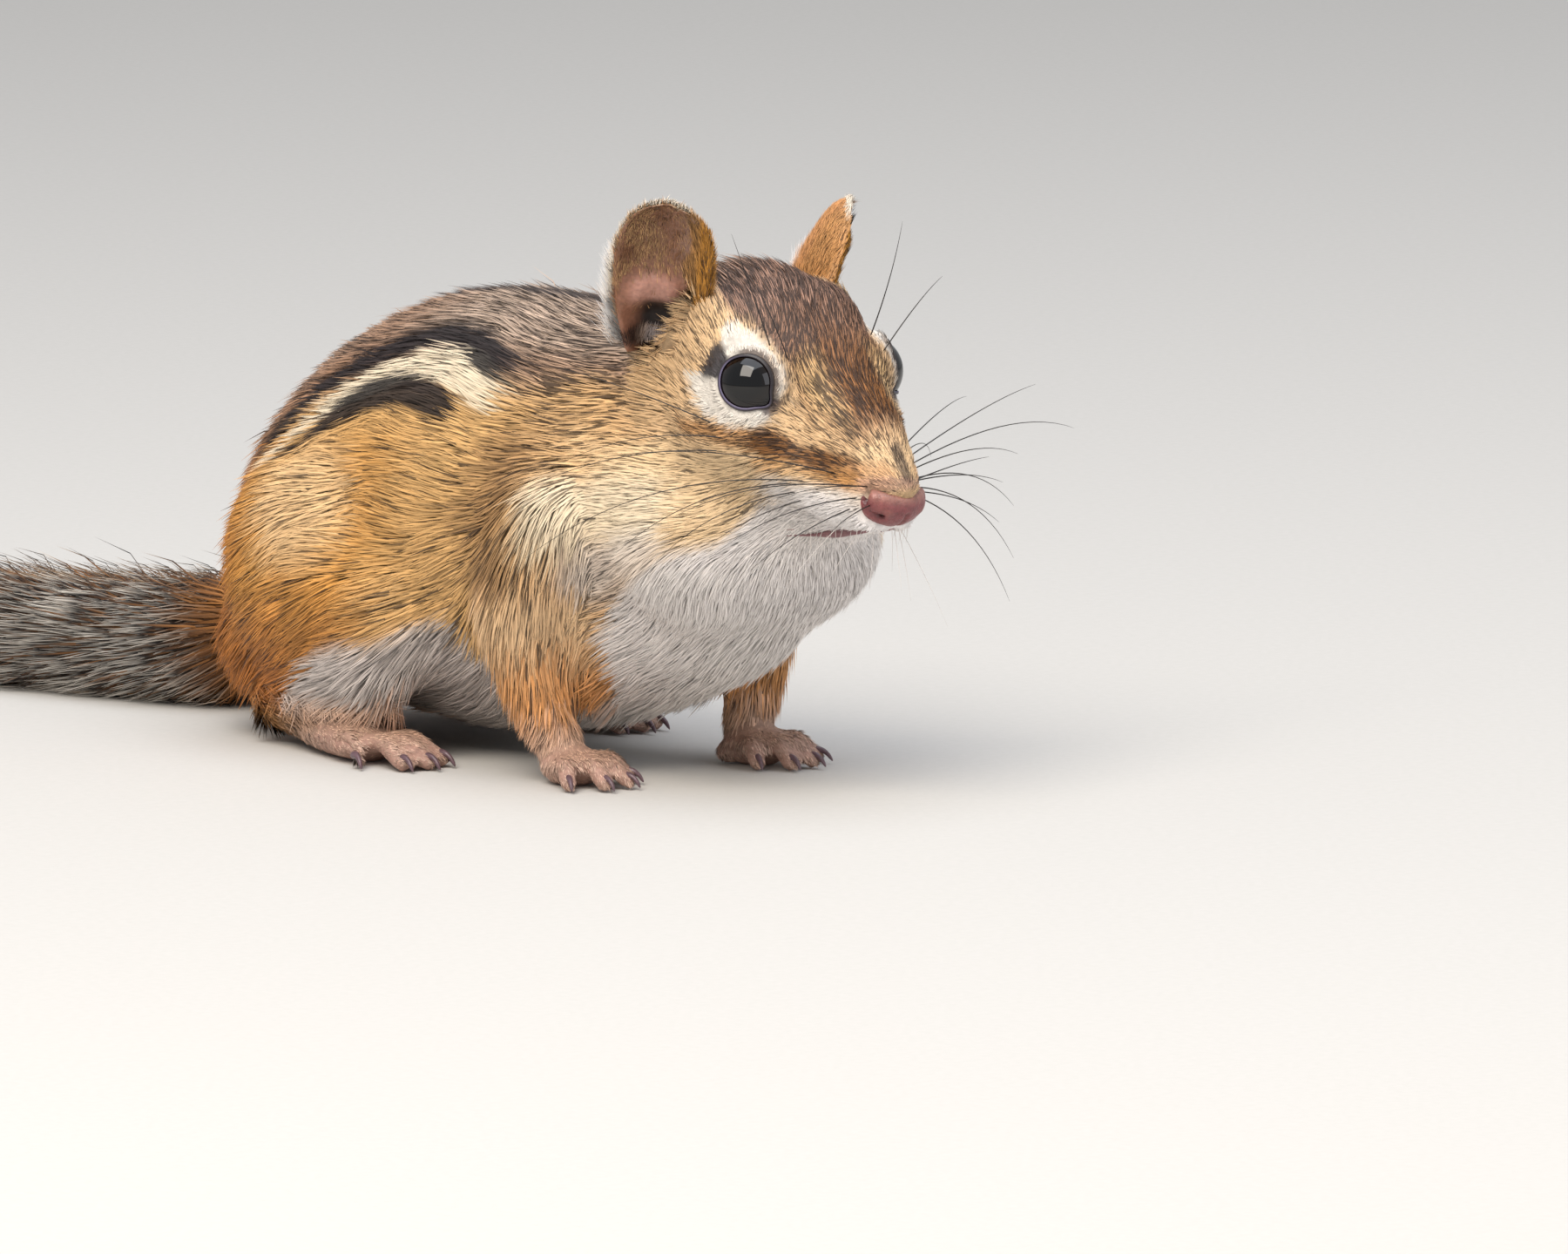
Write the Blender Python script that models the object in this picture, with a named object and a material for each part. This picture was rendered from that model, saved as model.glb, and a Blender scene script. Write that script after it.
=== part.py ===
"""An eastern chipmunk at life size, standing crouched on all four feet with its tail laid on the floor.

Shapes are modelled in millimetres and scaled to metres at the end. While modelling, x runs to the
animal's left, y runs backwards from the middle between its eyes, and z is the height above the floor.
"""

import math
import random

import bmesh
import bpy
from mathutils import Matrix, Vector

MM = 0.001

# Driving sizes in millimetres, measured over the fur
EYE_HEIGHT = 48.4
HEAD_PITCH = 18.0
EYEBALL_RADIUS = 4.1
EYE_OUT = 8.9
EAR_HEIGHT = 20.0
EAR_WIDTH = 10.7
EAR_WALL = 1.2
FORE_TOE_LENGTH = 5.4
HIND_TOE_LENGTH = 8.6
CLAW_LENGTH = 2.4
TAIL_LOCK_LENGTH = 20.0
TAIL_LOCK_WIDTH = 8.6
TAIL_LOCK_THICKNESS = 2.0

# The gap that touching nodes keep, the grain of the clay, and the triangles that its surface is given
GAP = 0.3
GRAIN = 0.5
FLESH_TRIANGLES = 5400

SIDES = {"left": 1, "right": -1}


def start_empty():
    for obj in list(bpy.data.objects):
        bpy.data.objects.remove(obj, do_unlink=True)


def add_object(name, bm):
    mesh = bpy.data.meshes.new(name)
    bm.to_mesh(mesh)
    bm.free()
    obj = bpy.data.objects.new(name, mesh)
    bpy.context.scene.collection.objects.link(obj)
    return obj


def duplicate(obj, name):
    copy = obj.copy()
    copy.data = obj.data.copy()
    copy.name = name
    bpy.context.scene.collection.objects.link(copy)
    return copy


def apply_modifiers(obj):
    graph = bpy.context.evaluated_depsgraph_get()
    finished = bpy.data.meshes.new_from_object(obj.evaluated_get(graph))
    obj.modifiers.clear()
    obj.data = finished


def keep_largest(obj):
    """Drops every closed surface of the mesh but the largest."""
    bm = bmesh.new()
    bm.from_mesh(obj.data)
    unseen = set(bm.verts)
    shells = []
    while unseen:
        front = [unseen.pop()]
        shell = set(front)
        while front:
            for edge in front.pop().link_edges:
                for vert in edge.verts:
                    if vert in unseen:
                        unseen.discard(vert)
                        shell.add(vert)
                        front.append(vert)
        shells.append(shell)
    shells.sort(key=len, reverse=True)
    for shell in shells[1:]:
        bmesh.ops.delete(bm, geom=list(shell), context="VERTS")
    bm.to_mesh(obj.data)
    bm.free()


def combine(obj, other, operation):
    """Cuts a closed mesh by another or keeps their common part, and removes the second.

    The solver is MANIFOLD, because EXACT loses the body at the fine cuts of the claws and the lids.
    """
    step = obj.modifiers.new(operation.lower(), "BOOLEAN")
    step.operation = operation
    step.solver = "MANIFOLD"
    step.object = other
    apply_modifiers(obj)
    bpy.data.objects.remove(other, do_unlink=True)
    keep_largest(obj)


def smooth_path(stations, count):
    """Rows of numbers read from a Catmull-Rom curve through the stations."""
    rows = [stations[0], *stations, stations[-1]]
    spans = len(stations) - 1
    path = []
    for step in range(count):
        along = spans * step / (count - 1)
        span = min(int(along), spans - 1)
        t = along - span
        row = []
        for p, q, r, s in zip(*rows[span : span + 4]):
            bend = 2 * p - 5 * q + 4 * r - s
            twist = 3 * q - p - 3 * r + s
            row.append(q + 0.5 * ((r - p) * t + bend * t**2 + twist * t**3))
        path.append(row)
    return path


def placed(centre, radii=(1, 1, 1), turn=Matrix.Identity(4)):
    return Matrix.Translation(centre) @ turn @ Matrix.Diagonal((*radii, 1))


def add_ball(bm, centre, radii, turn=Matrix.Identity(4), fineness=3):
    bmesh.ops.create_icosphere(bm, subdivisions=fineness, radius=1, matrix=placed(centre, radii, turn))


def add_limb(bm, stations, frame=Matrix.Identity(4), count=26):
    """A round limb through stations of x, y, z and radius, made of balls close enough to read as one tube."""
    for x, y, z, radius in smooth_path(stations, count):
        add_ball(bm, frame @ Vector((x, y, z)), (radius,) * 3, fineness=2)


def add_prism(bm, outline, inner, outer):
    """A straight bar with its outline in y and z, from one x to another."""
    near = [bm.verts.new((inner, y, z)) for y, z in outline]
    far = [bm.verts.new((outer, y, z)) for y, z in outline]
    bm.faces.new(near)
    bm.faces.new(reversed(far))
    for i in range(len(outline)):
        j = (i + 1) % len(outline)
        bm.faces.new((near[j], near[i], far[i], far[j]))
    bmesh.ops.recalc_face_normals(bm, faces=bm.faces)


def prism(outline, inner, outer):
    bm = bmesh.new()
    add_prism(bm, outline, inner, outer)
    return add_object("prism", bm)


def ball(centre, radii, turn=Matrix.Identity(4), fineness=3):
    bm = bmesh.new()
    add_ball(bm, centre, radii, turn, fineness)
    return add_object("ball", bm)


def add_rings(bm, rings):
    """A closed skin over rings of points; a ring of one point closes it to a tip."""
    rows = [[bm.verts.new(point) for point in ring] for ring in rings]
    for here, ahead in zip(rows, rows[1:]):
        count = max(len(here), len(ahead))
        for i in range(count):
            j = (i + 1) % count
            corners = [here[i % len(here)], here[j % len(here)], ahead[j % len(ahead)], ahead[i % len(ahead)]]
            bm.faces.new(list(dict.fromkeys(corners)))
    for row in (rows[0], rows[-1]):
        if len(row) > 2:
            bm.faces.new(row)
    bmesh.ops.recalc_face_normals(bm, faces=bm.faces)


def frame_along(direction, upward=Vector((0, 0, 1))):
    """Side and upward unit vectors square to a direction."""
    side = direction.cross(upward).normalized()
    return side, side.cross(direction).normalized()


def tube_rings(points, radii, sides):
    """Round rings along a path, closed to a point where the radius is zero."""
    rings = []
    for i, point in enumerate(points):
        direction = (points[min(i + 1, len(points) - 1)] - points[max(i - 1, 0)]).normalized()
        side, up = frame_along(direction)
        if radii[i] == 0:
            rings.append([point])
            continue
        turns = [2 * math.pi * k / sides for k in range(sides)]
        rings.append([point + radii[i] * (math.cos(a) * side + math.sin(a) * up) for a in turns])
    return rings


def tube(name, points, radii, sides):
    bm = bmesh.new()
    add_rings(bm, tube_rings(points, radii, sides))
    return add_object(name, bm)


# The head's own frame: x to the animal's left, y backwards and z up, turned down by its pitch
HEAD = Matrix.Translation((0, 0, EYE_HEIGHT)) @ Matrix.Rotation(math.radians(HEAD_PITCH), 4, "X")
HEAD_TURN = HEAD.to_3x3().to_4x4()

# Torso stations from the throat to the rump: y, z, half width, half height
TORSO = [
    (9, 36.5, 12.0, 16.0),
    (17, 33.2, 15.0, 22.0),
    (28, 31.2, 17.4, 24.8),
    (40, 29.6, 19.2, 26.4),
    (53, 28.3, 20.4, 27.2),
    (64, 26.5, 20.4, 25.6),
    (74, 23.8, 18.8, 22.2),
    (83, 19.8, 15.8, 16.8),
    (90, 15.4, 10.4, 10.8),
]


def add_torso(bm):
    path = smooth_path(TORSO, 70)
    for here, ahead in zip(path, path[1:] + [path[-1]]):
        y, z, half_width, half_height = here
        lean = math.atan2(ahead[1] - z, ahead[0] - y)
        turn = Matrix.Rotation(lean, 4, "X")
        add_ball(bm, (0, y, z), (half_width, 0.55 * half_width, half_height), turn)
    add_ball(bm, (0, 12.0, 29.5), (18.4, 13.6, 13.2))
    add_ball(bm, (0, 81, 13), (17, 12, 10.6))
    for side in SIDES.values():
        add_ball(bm, (8.5 * side, 20, 31), (8.8, 11, 13))


def add_head(bm):
    """Cranium, snout, cheeks, jaw, brows and nose pad, and the mounds that the eyes sit in."""

    def put(centre, radii):
        add_ball(bm, HEAD @ Vector(centre), radii, HEAD_TURN)

    put((0, 10, 1.5), (12.3, 13, 9.2))
    put((0, 2, -1), (9.6, 11, 8.4))
    add_limb(bm, [(0, -2, -1.6, 7.6), (0, -8, -3.6, 6.3), (0, -13, -5.8, 4.6), (0, -16.4, -7.0, 2.9)], HEAD)
    add_limb(bm, [(0, 4, -11.5, 6.0), (0, -4, -12.6, 4.4), (0, -11, -12.8, 2.9)], HEAD)
    put((0, -17.0, -8.6), (2.9, 1.9, 2.4))
    for side in SIDES.values():
        muzzle = [
            (6.0 * side, 3, -7.4, 6.4),
            (5.2 * side, -3, -7.8, 4.9),
            (3.9 * side, -8, -8.7, 4.1),
            (2.9 * side, -12.5, -9.5, 3.4),
            (1.8 * side, -15.4, -9.8, 2.5),
        ]
        add_limb(bm, muzzle, HEAD)
        put((6.8 * side, 3.5, -7.0), (7.2, 10.5, 8.5))
        put((6.2 * side, 1.4, 1.1), (4.0, 6.6, 4.2))
        put((7.0 * side, 9, -1), (6.2, 8, 7))
        put((8.4 * side, 14, -5), (5.6, 6, 7.5))
        put((9.6 * side, 10.8, 4.4), (3.0, 3.6, 4.4))
        put(eye_centre(side), (EYEBALL_RADIUS + 0.8,) * 3)


def eye_centre(side):
    return Vector((EYE_OUT * side, 1.2, 0))


def add_haunch(bm, side):
    add_ball(bm, (13.2 * side, 68.5, 20.5), (11, 18.5, 17.8), Matrix.Rotation(math.radians(-10), 4, "X"))
    add_ball(bm, (12.5 * side, 76.5, 12.6), (9.0, 13.0, 10.4))
    add_ball(bm, (17.0 * side, 57, 17.5), (6.5, 10.5, 11))
    add_limb(bm, [(18.5 * side, 55, 12, 6), (18.0 * side, 66, 7.5, 5), (17.5 * side, 76, 4.8, 4)], count=14)


# How far each foot stands behind its foremost place
FORE_BACK = {"left": 0.0, "right": 2.2}
HIND_BACK = {"left": 7.0, "right": 1.5}


def add_hind_foot(bm, name, side):
    back = HIND_BACK[name]
    heel, instep = Vector((17.2 * side, 76 + back * 0.4, 3.0)), Vector((19.0 * side, 55.5 + back, 2.4))
    for step in range(12):
        t = step / 11
        add_ball(bm, heel.lerp(instep, t), (2.7 + 1.7 * t, 3.2, 3.1 - 0.5 * t), fineness=2)
    for root, angle, length, radius in hind_toes(name, side):
        add_toe(bm, root, angle, length, radius, side)


def hind_toes(name, side):
    """Root, turn, length and radius of each of the five toes, from the inner to the outer one."""
    y = 55.5 + HIND_BACK[name]
    spread = [
        (-3.4, 1.5, -18, 0.66),
        (-1.8, -1.6, -7, 0.95),
        (0, -2.2, 1, 1.0),
        (1.8, -1.6, 9, 0.95),
        (3.5, 1.6, 21, 0.72),
    ]
    return [
        (((19.0 + out) * side, y + back, 2.0), angle, HIND_TOE_LENGTH * share, 1.25)
        for out, back, angle, share in spread
    ]


def fore_toes(name, side):
    """The same for the four toes of a forepaw."""
    y = 23.6 + FORE_BACK[name]
    spread = [(-2.6, 0.7, -24, 0.8), (-0.9, -0.8, -8, 1.0), (0.9, -0.8, 9, 1.0), (2.6, 0.7, 30, 0.86)]
    return [
        (((13.4 + out) * side, y + back, 2.0), angle, FORE_TOE_LENGTH * share, 1.2)
        for out, back, angle, share in spread
    ]


def toe_frame(root, angle, side):
    return Matrix.Translation(root) @ Matrix.Rotation(math.radians(angle) * side, 4, "Z")


def add_toe(bm, root, angle, length, radius, side):
    """A toe that rises to a knuckle and comes down to its pad."""
    stations = [
        (0, 0, 0.4, radius * 1.1),
        (0, -0.45 * length, 0.9, radius),
        (0, -0.8 * length, -0.4, radius * 0.9),
        (0, -length, -0.9, radius),
    ]
    add_limb(bm, stations, toe_frame(root, angle, side), count=12)


# Foreleg stations from the shoulder to the wrist, at the left and right: x, y, z and radius
FORELEG = {
    "left": [
        (12.8, 25, 32, 8.5),
        (15.0, 27.5, 22, 7.6),
        (15.5, 28.2, 14, 5.8),
        (14.6, 27.8, 8, 3.9),
        (13.6, 27.2, 4.2, 2.9),
    ],
    "right": [
        (12.8, 27, 32, 8.2),
        (15.0, 33.5, 22, 7.0),
        (14.8, 33.5, 14, 5.2),
        (13.8, 31.4, 8, 3.7),
        (13.4, 29.6, 4.2, 2.9),
    ],
}


def add_foreleg(bm, name, side):
    back = FORE_BACK[name]
    add_limb(bm, [(x * side, y, z, radius) for x, y, z, radius in FORELEG[name]])
    add_ball(bm, (13.4 * side, 25.0 + back, 2.1), (3.7, 4.1, 2.4), fineness=3)
    add_ball(bm, (10.5 * side, 27.4 + back, 1.4), (1.2, 1.5, 1.5), fineness=2)
    for root, angle, length, radius in fore_toes(name, side):
        add_toe(bm, root, angle, length, radius, side)


def soft_share(point):
    """How much a point of the clay is smoothed: fully on the body, hardly on the toes and the eye mounds."""
    share = min(1.0, max(0.06, (point.z - 4.5) / 6.0))
    for side in SIDES.values():
        eye = HEAD @ eye_centre(side)
        share = min(share, 0.1 + max(0.0, ((point - eye).length - 5.5) / 5.0))
    nose = HEAD @ Vector((0, -15, -8))
    return min(share, 0.2 + max(0.0, ((point - nose).length - 4.0) / 8.0))


def coarse_share(point):
    """How freely the surface is thinned around a point: least on the face and the feet."""
    face = max(0.0, 1 - max(0.0, (point - HEAD @ Vector((0, -5, -4))).length - 9.0) / 16.0)
    foot = max(0.0, 1 - max(0.0, point.z - 5.0) / 4.0)
    return 1 - 0.97 * max(face, 0.7 * foot)


def paint_group(obj, name, share):
    group = obj.vertex_groups.new(name=name)
    for vert in obj.data.vertices:
        group.add([vert.index], share(vert.co), "REPLACE")


def make_flesh():
    bm = bmesh.new()
    add_torso(bm)
    add_head(bm)
    for name, side in SIDES.items():
        add_haunch(bm, side)
        add_hind_foot(bm, name, side)
        add_foreleg(bm, name, side)
    flesh = add_object("flesh", bm)
    fuse = flesh.modifiers.new("fuse", "REMESH")
    fuse.mode = "VOXEL"
    fuse.voxel_size = GRAIN
    apply_modifiers(flesh)
    keep_largest(flesh)
    paint_group(flesh, "soft", soft_share)
    soften = flesh.modifiers.new("soften", "SMOOTH")
    soften.factor = 0.5
    soften.iterations = 45
    soften.vertex_group = "soft"
    apply_modifiers(flesh)
    paint_group(flesh, "coarse", coarse_share)
    thin = flesh.modifiers.new("thin", "DECIMATE")
    thin.ratio = FLESH_TRIANGLES / (2 * len(flesh.data.polygons))
    thin.vertex_group = "coarse"
    thin.vertex_group_factor = 0.15
    apply_modifiers(flesh)
    keep_largest(flesh)
    return flesh


def cut_floor(obj):
    combine(obj, prism([(-60, -20), (230, -20), (230, 0), (-60, 0)], -60, 60), "DIFFERENCE")


# Which way each eye looks, in the head's frame, and the half width of the lids' opening around it
def gaze(side):
    return Vector((0.86 * side, -0.44, 0.18)).normalized()


def opening_radius(turn):
    """Half width of the lids' opening, drawn out to a corner at the front below and a little at the back."""
    front = math.exp(-(((turn - math.radians(-38) + math.pi) % (2 * math.pi) - math.pi) / 0.42) ** 2)
    back = math.exp(-(((turn - math.radians(150) + math.pi) % (2 * math.pi) - math.pi) / 0.5) ** 2)
    return 3.0 + 0.75 * front + 0.3 * back


def open_lids(flesh, side):
    """Cuts the opening of the lids, and then the socket, which would be a sealed hollow without it."""
    axis = gaze(side)
    forward = (Vector((0, -1, 0)) - axis * axis.dot(Vector((0, -1, 0)))).normalized()
    up = forward.cross(axis) * (1 if forward.cross(axis).z > 0 else -1)
    rings = []
    for depth, flare in ((1.6, 0.8), (3.0, 1.0), (4.4, 1.12), (6.4, 1.4)):
        ring = []
        for k in range(28):
            turn = 2 * math.pi * k / 28
            radius = flare * opening_radius(turn)
            spot = eye_centre(side) + depth * axis + radius * (math.cos(turn) * forward + math.sin(turn) * up)
            ring.append(HEAD @ spot)
        rings.append(ring)
    bm = bmesh.new()
    add_rings(bm, rings)
    combine(flesh, add_object("opening", bm), "DIFFERENCE")
    combine(flesh, ball(HEAD @ eye_centre(side), (EYEBALL_RADIUS + GAP,) * 3), "DIFFERENCE")


def snapped(flesh, points):
    """Points moved onto the flesh's surface."""
    return [flesh.closest_point_on_mesh(HEAD @ Vector(point))[1] for point in points]


def cut_mouth(flesh):
    half = [
        (6.9, -6.6, -14.6),
        (6.0, -9.0, -14.4),
        (4.4, -12.0, -13.4),
        (2.3, -14.6, -12.3),
        (0, -15.8, -11.9),
    ]
    line = half + [(-x, y, z) for x, y, z in reversed(half[:-1])]
    path = snapped(flesh, [tuple(row) for row in smooth_path(line, 25)])
    radii = [0.12 + 0.4 * math.sin(math.pi * k / 24) ** 0.4 for k in range(25)]
    combine(flesh, tube("lips", path, radii, 6), "DIFFERENCE")
    for side in SIDES.values():
        spot = snapped(flesh, [(2.2 * side, -17.9, -8.6)])[0]
        turn = HEAD_TURN @ Matrix.Rotation(math.radians(24 * side), 4, "Y")
        combine(flesh, ball(spot, (0.5, 0.8, 1.45), turn, 2), "DIFFERENCE")


def ear_half_width(v):
    if v > 0.6:
        return EAR_WIDTH / 2 * max(0.0, 1 - ((v - 0.6) / 0.4) ** 2.5) ** 0.5
    return EAR_WIDTH / 2 * (0.5 + 0.5 * math.sin(0.5 * math.pi * v / 0.6))


# Foot, upward axis and opening of each ear in the head's frame; the left one is laid back a little more
EAR_SET = {
    1: ((12.2, 14.8, -4.8), (1.2, -0.6, 18.5), (0.75, -0.63, 0.2)),
    -1: ((-12.1, 14.6, -2.4), (-3.4, -0.4, 18.5), (-0.74, -0.64, 0.2)),
}


def ear(name, side, grown=0.0):
    """An open cup: an arc of skin at every height, closed over its rims, with its foot inside the head."""
    foot, up, face = (Vector(row) for row in EAR_SET[side])
    foot = HEAD @ foot
    up = (HEAD_TURN @ up).normalized()
    face = HEAD_TURN @ face
    face = (face - up * up.dot(face)).normalized()
    across = face.cross(up) * side
    rows = []
    for i in range(10):
        v = 1 - (1 - i / 9) ** 1.5
        curl = math.radians(74 - 30 * v)
        radius = max(0.35, ear_half_width(v)) / math.sin(curl)
        wall = EAR_WALL * (1.25 - 0.5 * v)
        height = v * EAR_HEIGHT + (grown if i == 9 else -grown if i == 0 else 0)
        row = []
        for sheet in (1, 0):
            for k in range(9):
                u = (k / 4 - 1) * (1 if sheet else -1)
                thick = radius - grown
                if sheet:
                    thick = radius + wall * (0.55 + 0.45 * (1 - u * u)) + grown
                angle = u * (curl + grown / radius)
                sideways = thick * math.sin(angle)
                deep = thick * math.cos(angle) - radius * math.cos(curl)
                row.append(foot + height * up + sideways * across - deep * face)
        rows.append(row)
    bm = bmesh.new()
    add_rings(bm, rows)
    return add_object(name, bm)


def claw(name, root, angle, length, side, size, grown=0.0):
    """A hooked horn that leaves the end of a toe and comes down to the floor."""
    frame = toe_frame(root, angle, side)
    stations = [(0.75, 0.1, 1.0), (-0.35, 0.25, 0.95), (-1.25, -0.1, 0.65), (-2.1, -1.15, 0.18)]
    share = CLAW_LENGTH / 2.4 * size
    points = [frame @ Vector((0, -length + y * share, -0.55 + z * share)) for y, z, _ in stations]
    radii = [0.46 * size * thick + grown for _, _, thick in stations]
    if grown:
        points = points[:3]
        radii = radii[:3]
    return tube(name, points, radii, 5)


def part_off(rest, name, cutter, grown_cutter):
    """Takes the part of the flesh inside a cutter as a node, and leaves the rest a gap away from it."""
    piece = duplicate(rest, name)
    combine(piece, cutter, "INTERSECT")
    combine(rest, grown_cutter, "DIFFERENCE")
    return piece


def shifted_line(line, distance):
    """A polyline in y and z moved square to itself, towards the animal's rear and underside."""
    moved = []
    for i, (y, z) in enumerate(line):
        before, after = line[max(i - 1, 0)], line[min(i + 1, len(line) - 1)]
        along = Vector((after[0] - before[0], after[1] - before[1])).normalized()
        moved.append((y + along.y * distance, z - along.x * distance))
    return moved


def front_of(line, distance=0.0):
    return prism([*shifted_line(line, distance), (-70, 90)], -40, 40)


# Where the head ends and where the neck ends, in y and z from the throat up to the nape
HEAD_LINE = [(-70, 20), (-8, 29.4), (3, 31.8), (9, 35), (13.5, 41), (17.5, 49), (22, 58), (34, 82)]
NECK_LINE = [(-70, 13), (-4, 21.5), (8, 24.5), (16, 30), (21, 38), (25.5, 47), (30, 57), (42, 81)]

# The tail's centre line over the floor, and the radius of its core
TAIL = [
    (0, 84, 13.5, 4.4),
    (0, 92, 11.6, 4.3),
    (-0.3, 100, 8.6, 4.3),
    (-1.6, 111, 7.0, 4.3),
    (-4.5, 125, 6.8, 4.3),
    (-9.0, 140, 6.6, 4.1),
    (-14.5, 154, 6.0, 3.4),
    (-20.0, 165, 5.2, 2.2),
]


def tail_point(path, along):
    """Place, direction and core radius at a share of the tail's length."""
    spot = along * (len(path) - 1)
    i = min(int(spot), len(path) - 2)
    here, ahead = Vector(path[i][:3]), Vector(path[i + 1][:3])
    return here.lerp(ahead, spot - i), (ahead - here).normalized(), path[i][3]


def add_lock(start, direction, outward, length, width, thickness, splay, trail):
    """A flat tapered lock that leaves the core at a slant and bends back along the tail."""
    spot = start.copy()
    steps = 4
    rings = []
    for step in range(steps + 1):
        t = step / steps
        slant = math.radians(splay + (trail - splay) * t)
        heading = (math.cos(slant) * direction + math.sin(slant) * outward).normalized()
        broad = heading.cross(outward).normalized()
        flat = broad.cross(heading).normalized()
        half = 0.5 * width * (0.6 + 0.4 * math.sin(math.pi * min(1.0, 1.3 * t))) * (1 - t**2.8)
        deep = 0.5 * thickness * (1 - t**2.8)
        spot.z = max(spot.z, 0.75 * deep)
        if step == steps:
            rings.append([spot.copy()])
        else:
            rings.append([spot + half * broad, spot + deep * flat, spot - half * broad, spot - deep * flat])
        spot = spot + heading * (length / steps)
    bm = bmesh.new()
    add_rings(bm, rings)
    return add_object("lock", bm)


def make_tail():
    """A thin core, and flat locks that overlap along it like the coat of the real tail."""
    chance = random.Random(7)
    path = smooth_path(TAIL, 60)
    stations = path[::5] + [path[-1]]
    core = tube("tail", [Vector(row[:3]) for row in stations], [row[3] for row in stations], 8)
    locks = []
    rows = 8
    for row in range(rows):
        along = 0.2 + 0.74 * row / (rows - 1)
        centre, direction, radius = tail_point(path, along)
        side, up = frame_along(direction)
        count = 6
        for k in range(count):
            around = 2 * math.pi * (k + 0.5 * (row % 2) + chance.uniform(-0.12, 0.12)) / count
            outward = math.cos(around) * side + math.sin(around) * up
            size = chance.uniform(0.9, 1.1) * (1 - 0.12 * max(0.0, (along - 0.8) / 0.2))
            young = max(0.0, 1 - row / 2.5)
            locks.append(
                add_lock(
                    centre + (0.5 * radius) * outward,
                    direction,
                    outward,
                    TAIL_LOCK_LENGTH * size * (1 - 0.2 * young),
                    TAIL_LOCK_WIDTH * size,
                    TAIL_LOCK_THICKNESS * size,
                    44 - 14 * young + chance.uniform(-4, 4),
                    6 + chance.uniform(-6, 6),
                )
            )
    centre, direction, radius = tail_point(path, 1.0)
    side, up = frame_along(direction)
    for k in range(5):
        around = 2 * math.pi * k / 5
        outward = math.cos(around) * side + math.sin(around) * up
        splay = 18 + chance.uniform(-5, 5)
        locks.append(add_lock(centre - 4 * direction, direction, outward, 19, 5.4, 1.7, splay, 2))
    group = bpy.data.collections.new("locks")
    for lock in locks:
        group.objects.link(lock)
    fuse = core.modifiers.new("fuse", "BOOLEAN")
    fuse.operation = "UNION"
    fuse.operand_type = "COLLECTION"
    fuse.collection = group
    fuse.solver = "EXACT"
    apply_modifiers(core)
    for lock in locks:
        bpy.data.objects.remove(lock, do_unlink=True)
    bpy.data.collections.remove(group)
    keep_largest(core)
    cut_floor(core)
    return core


def tail_root(grown):
    path = smooth_path(TAIL, 60)[:30:5]
    points = [Vector(row[:3]) for row in path]
    points[0] = points[0] - GAP * (points[1] - points[0]).normalized()
    return tube("tail_root", points, [row[3] + grown for row in path], 8)


def finish(obj, colour, roughness):
    """Smooth shading up to the sharp edges, and a material of the node's own."""
    obj.data.shade_smooth()
    obj.data.set_sharp_from_angle(angle=math.radians(40))
    material = bpy.data.materials.new(obj.name)
    material.use_nodes = True
    shader = material.node_tree.nodes["Principled BSDF"]
    shader.inputs["Base Color"].default_value = (*colour, 1)
    shader.inputs["Roughness"].default_value = roughness
    obj.data.materials.clear()
    obj.data.materials.append(material)


start_empty()
flesh = make_flesh()
cut_floor(flesh)
for side in SIDES.values():
    open_lids(flesh, side)
cut_mouth(flesh)

nodes = {}
tail = make_tail()
nodes["tail"] = tail
combine(flesh, tail_root(GAP), "DIFFERENCE")
for name, side in SIDES.items():
    nodes[f"eye_{name}"] = ball(HEAD @ eye_centre(side), (EYEBALL_RADIUS,) * 3)
    nodes[f"ear_{name}"] = ear("ear", side)
    combine(flesh, ear("ear_room", side, GAP), "DIFFERENCE")
    for toe, (root, angle, length, radius) in enumerate(fore_toes(name, side), 1):
        nodes[f"foreclaw_{name}_{toe}"] = claw("claw", root, angle, length, side, 0.92)
        combine(flesh, claw("room", root, angle, length, side, 0.92, GAP), "DIFFERENCE")
    for toe, (root, angle, length, radius) in enumerate(hind_toes(name, side), 1):
        nodes[f"hindclaw_{name}_{toe}"] = claw("claw", root, angle, length, side, 1.0)
        combine(flesh, claw("room", root, angle, length, side, 1.0, GAP), "DIFFERENCE")

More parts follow.
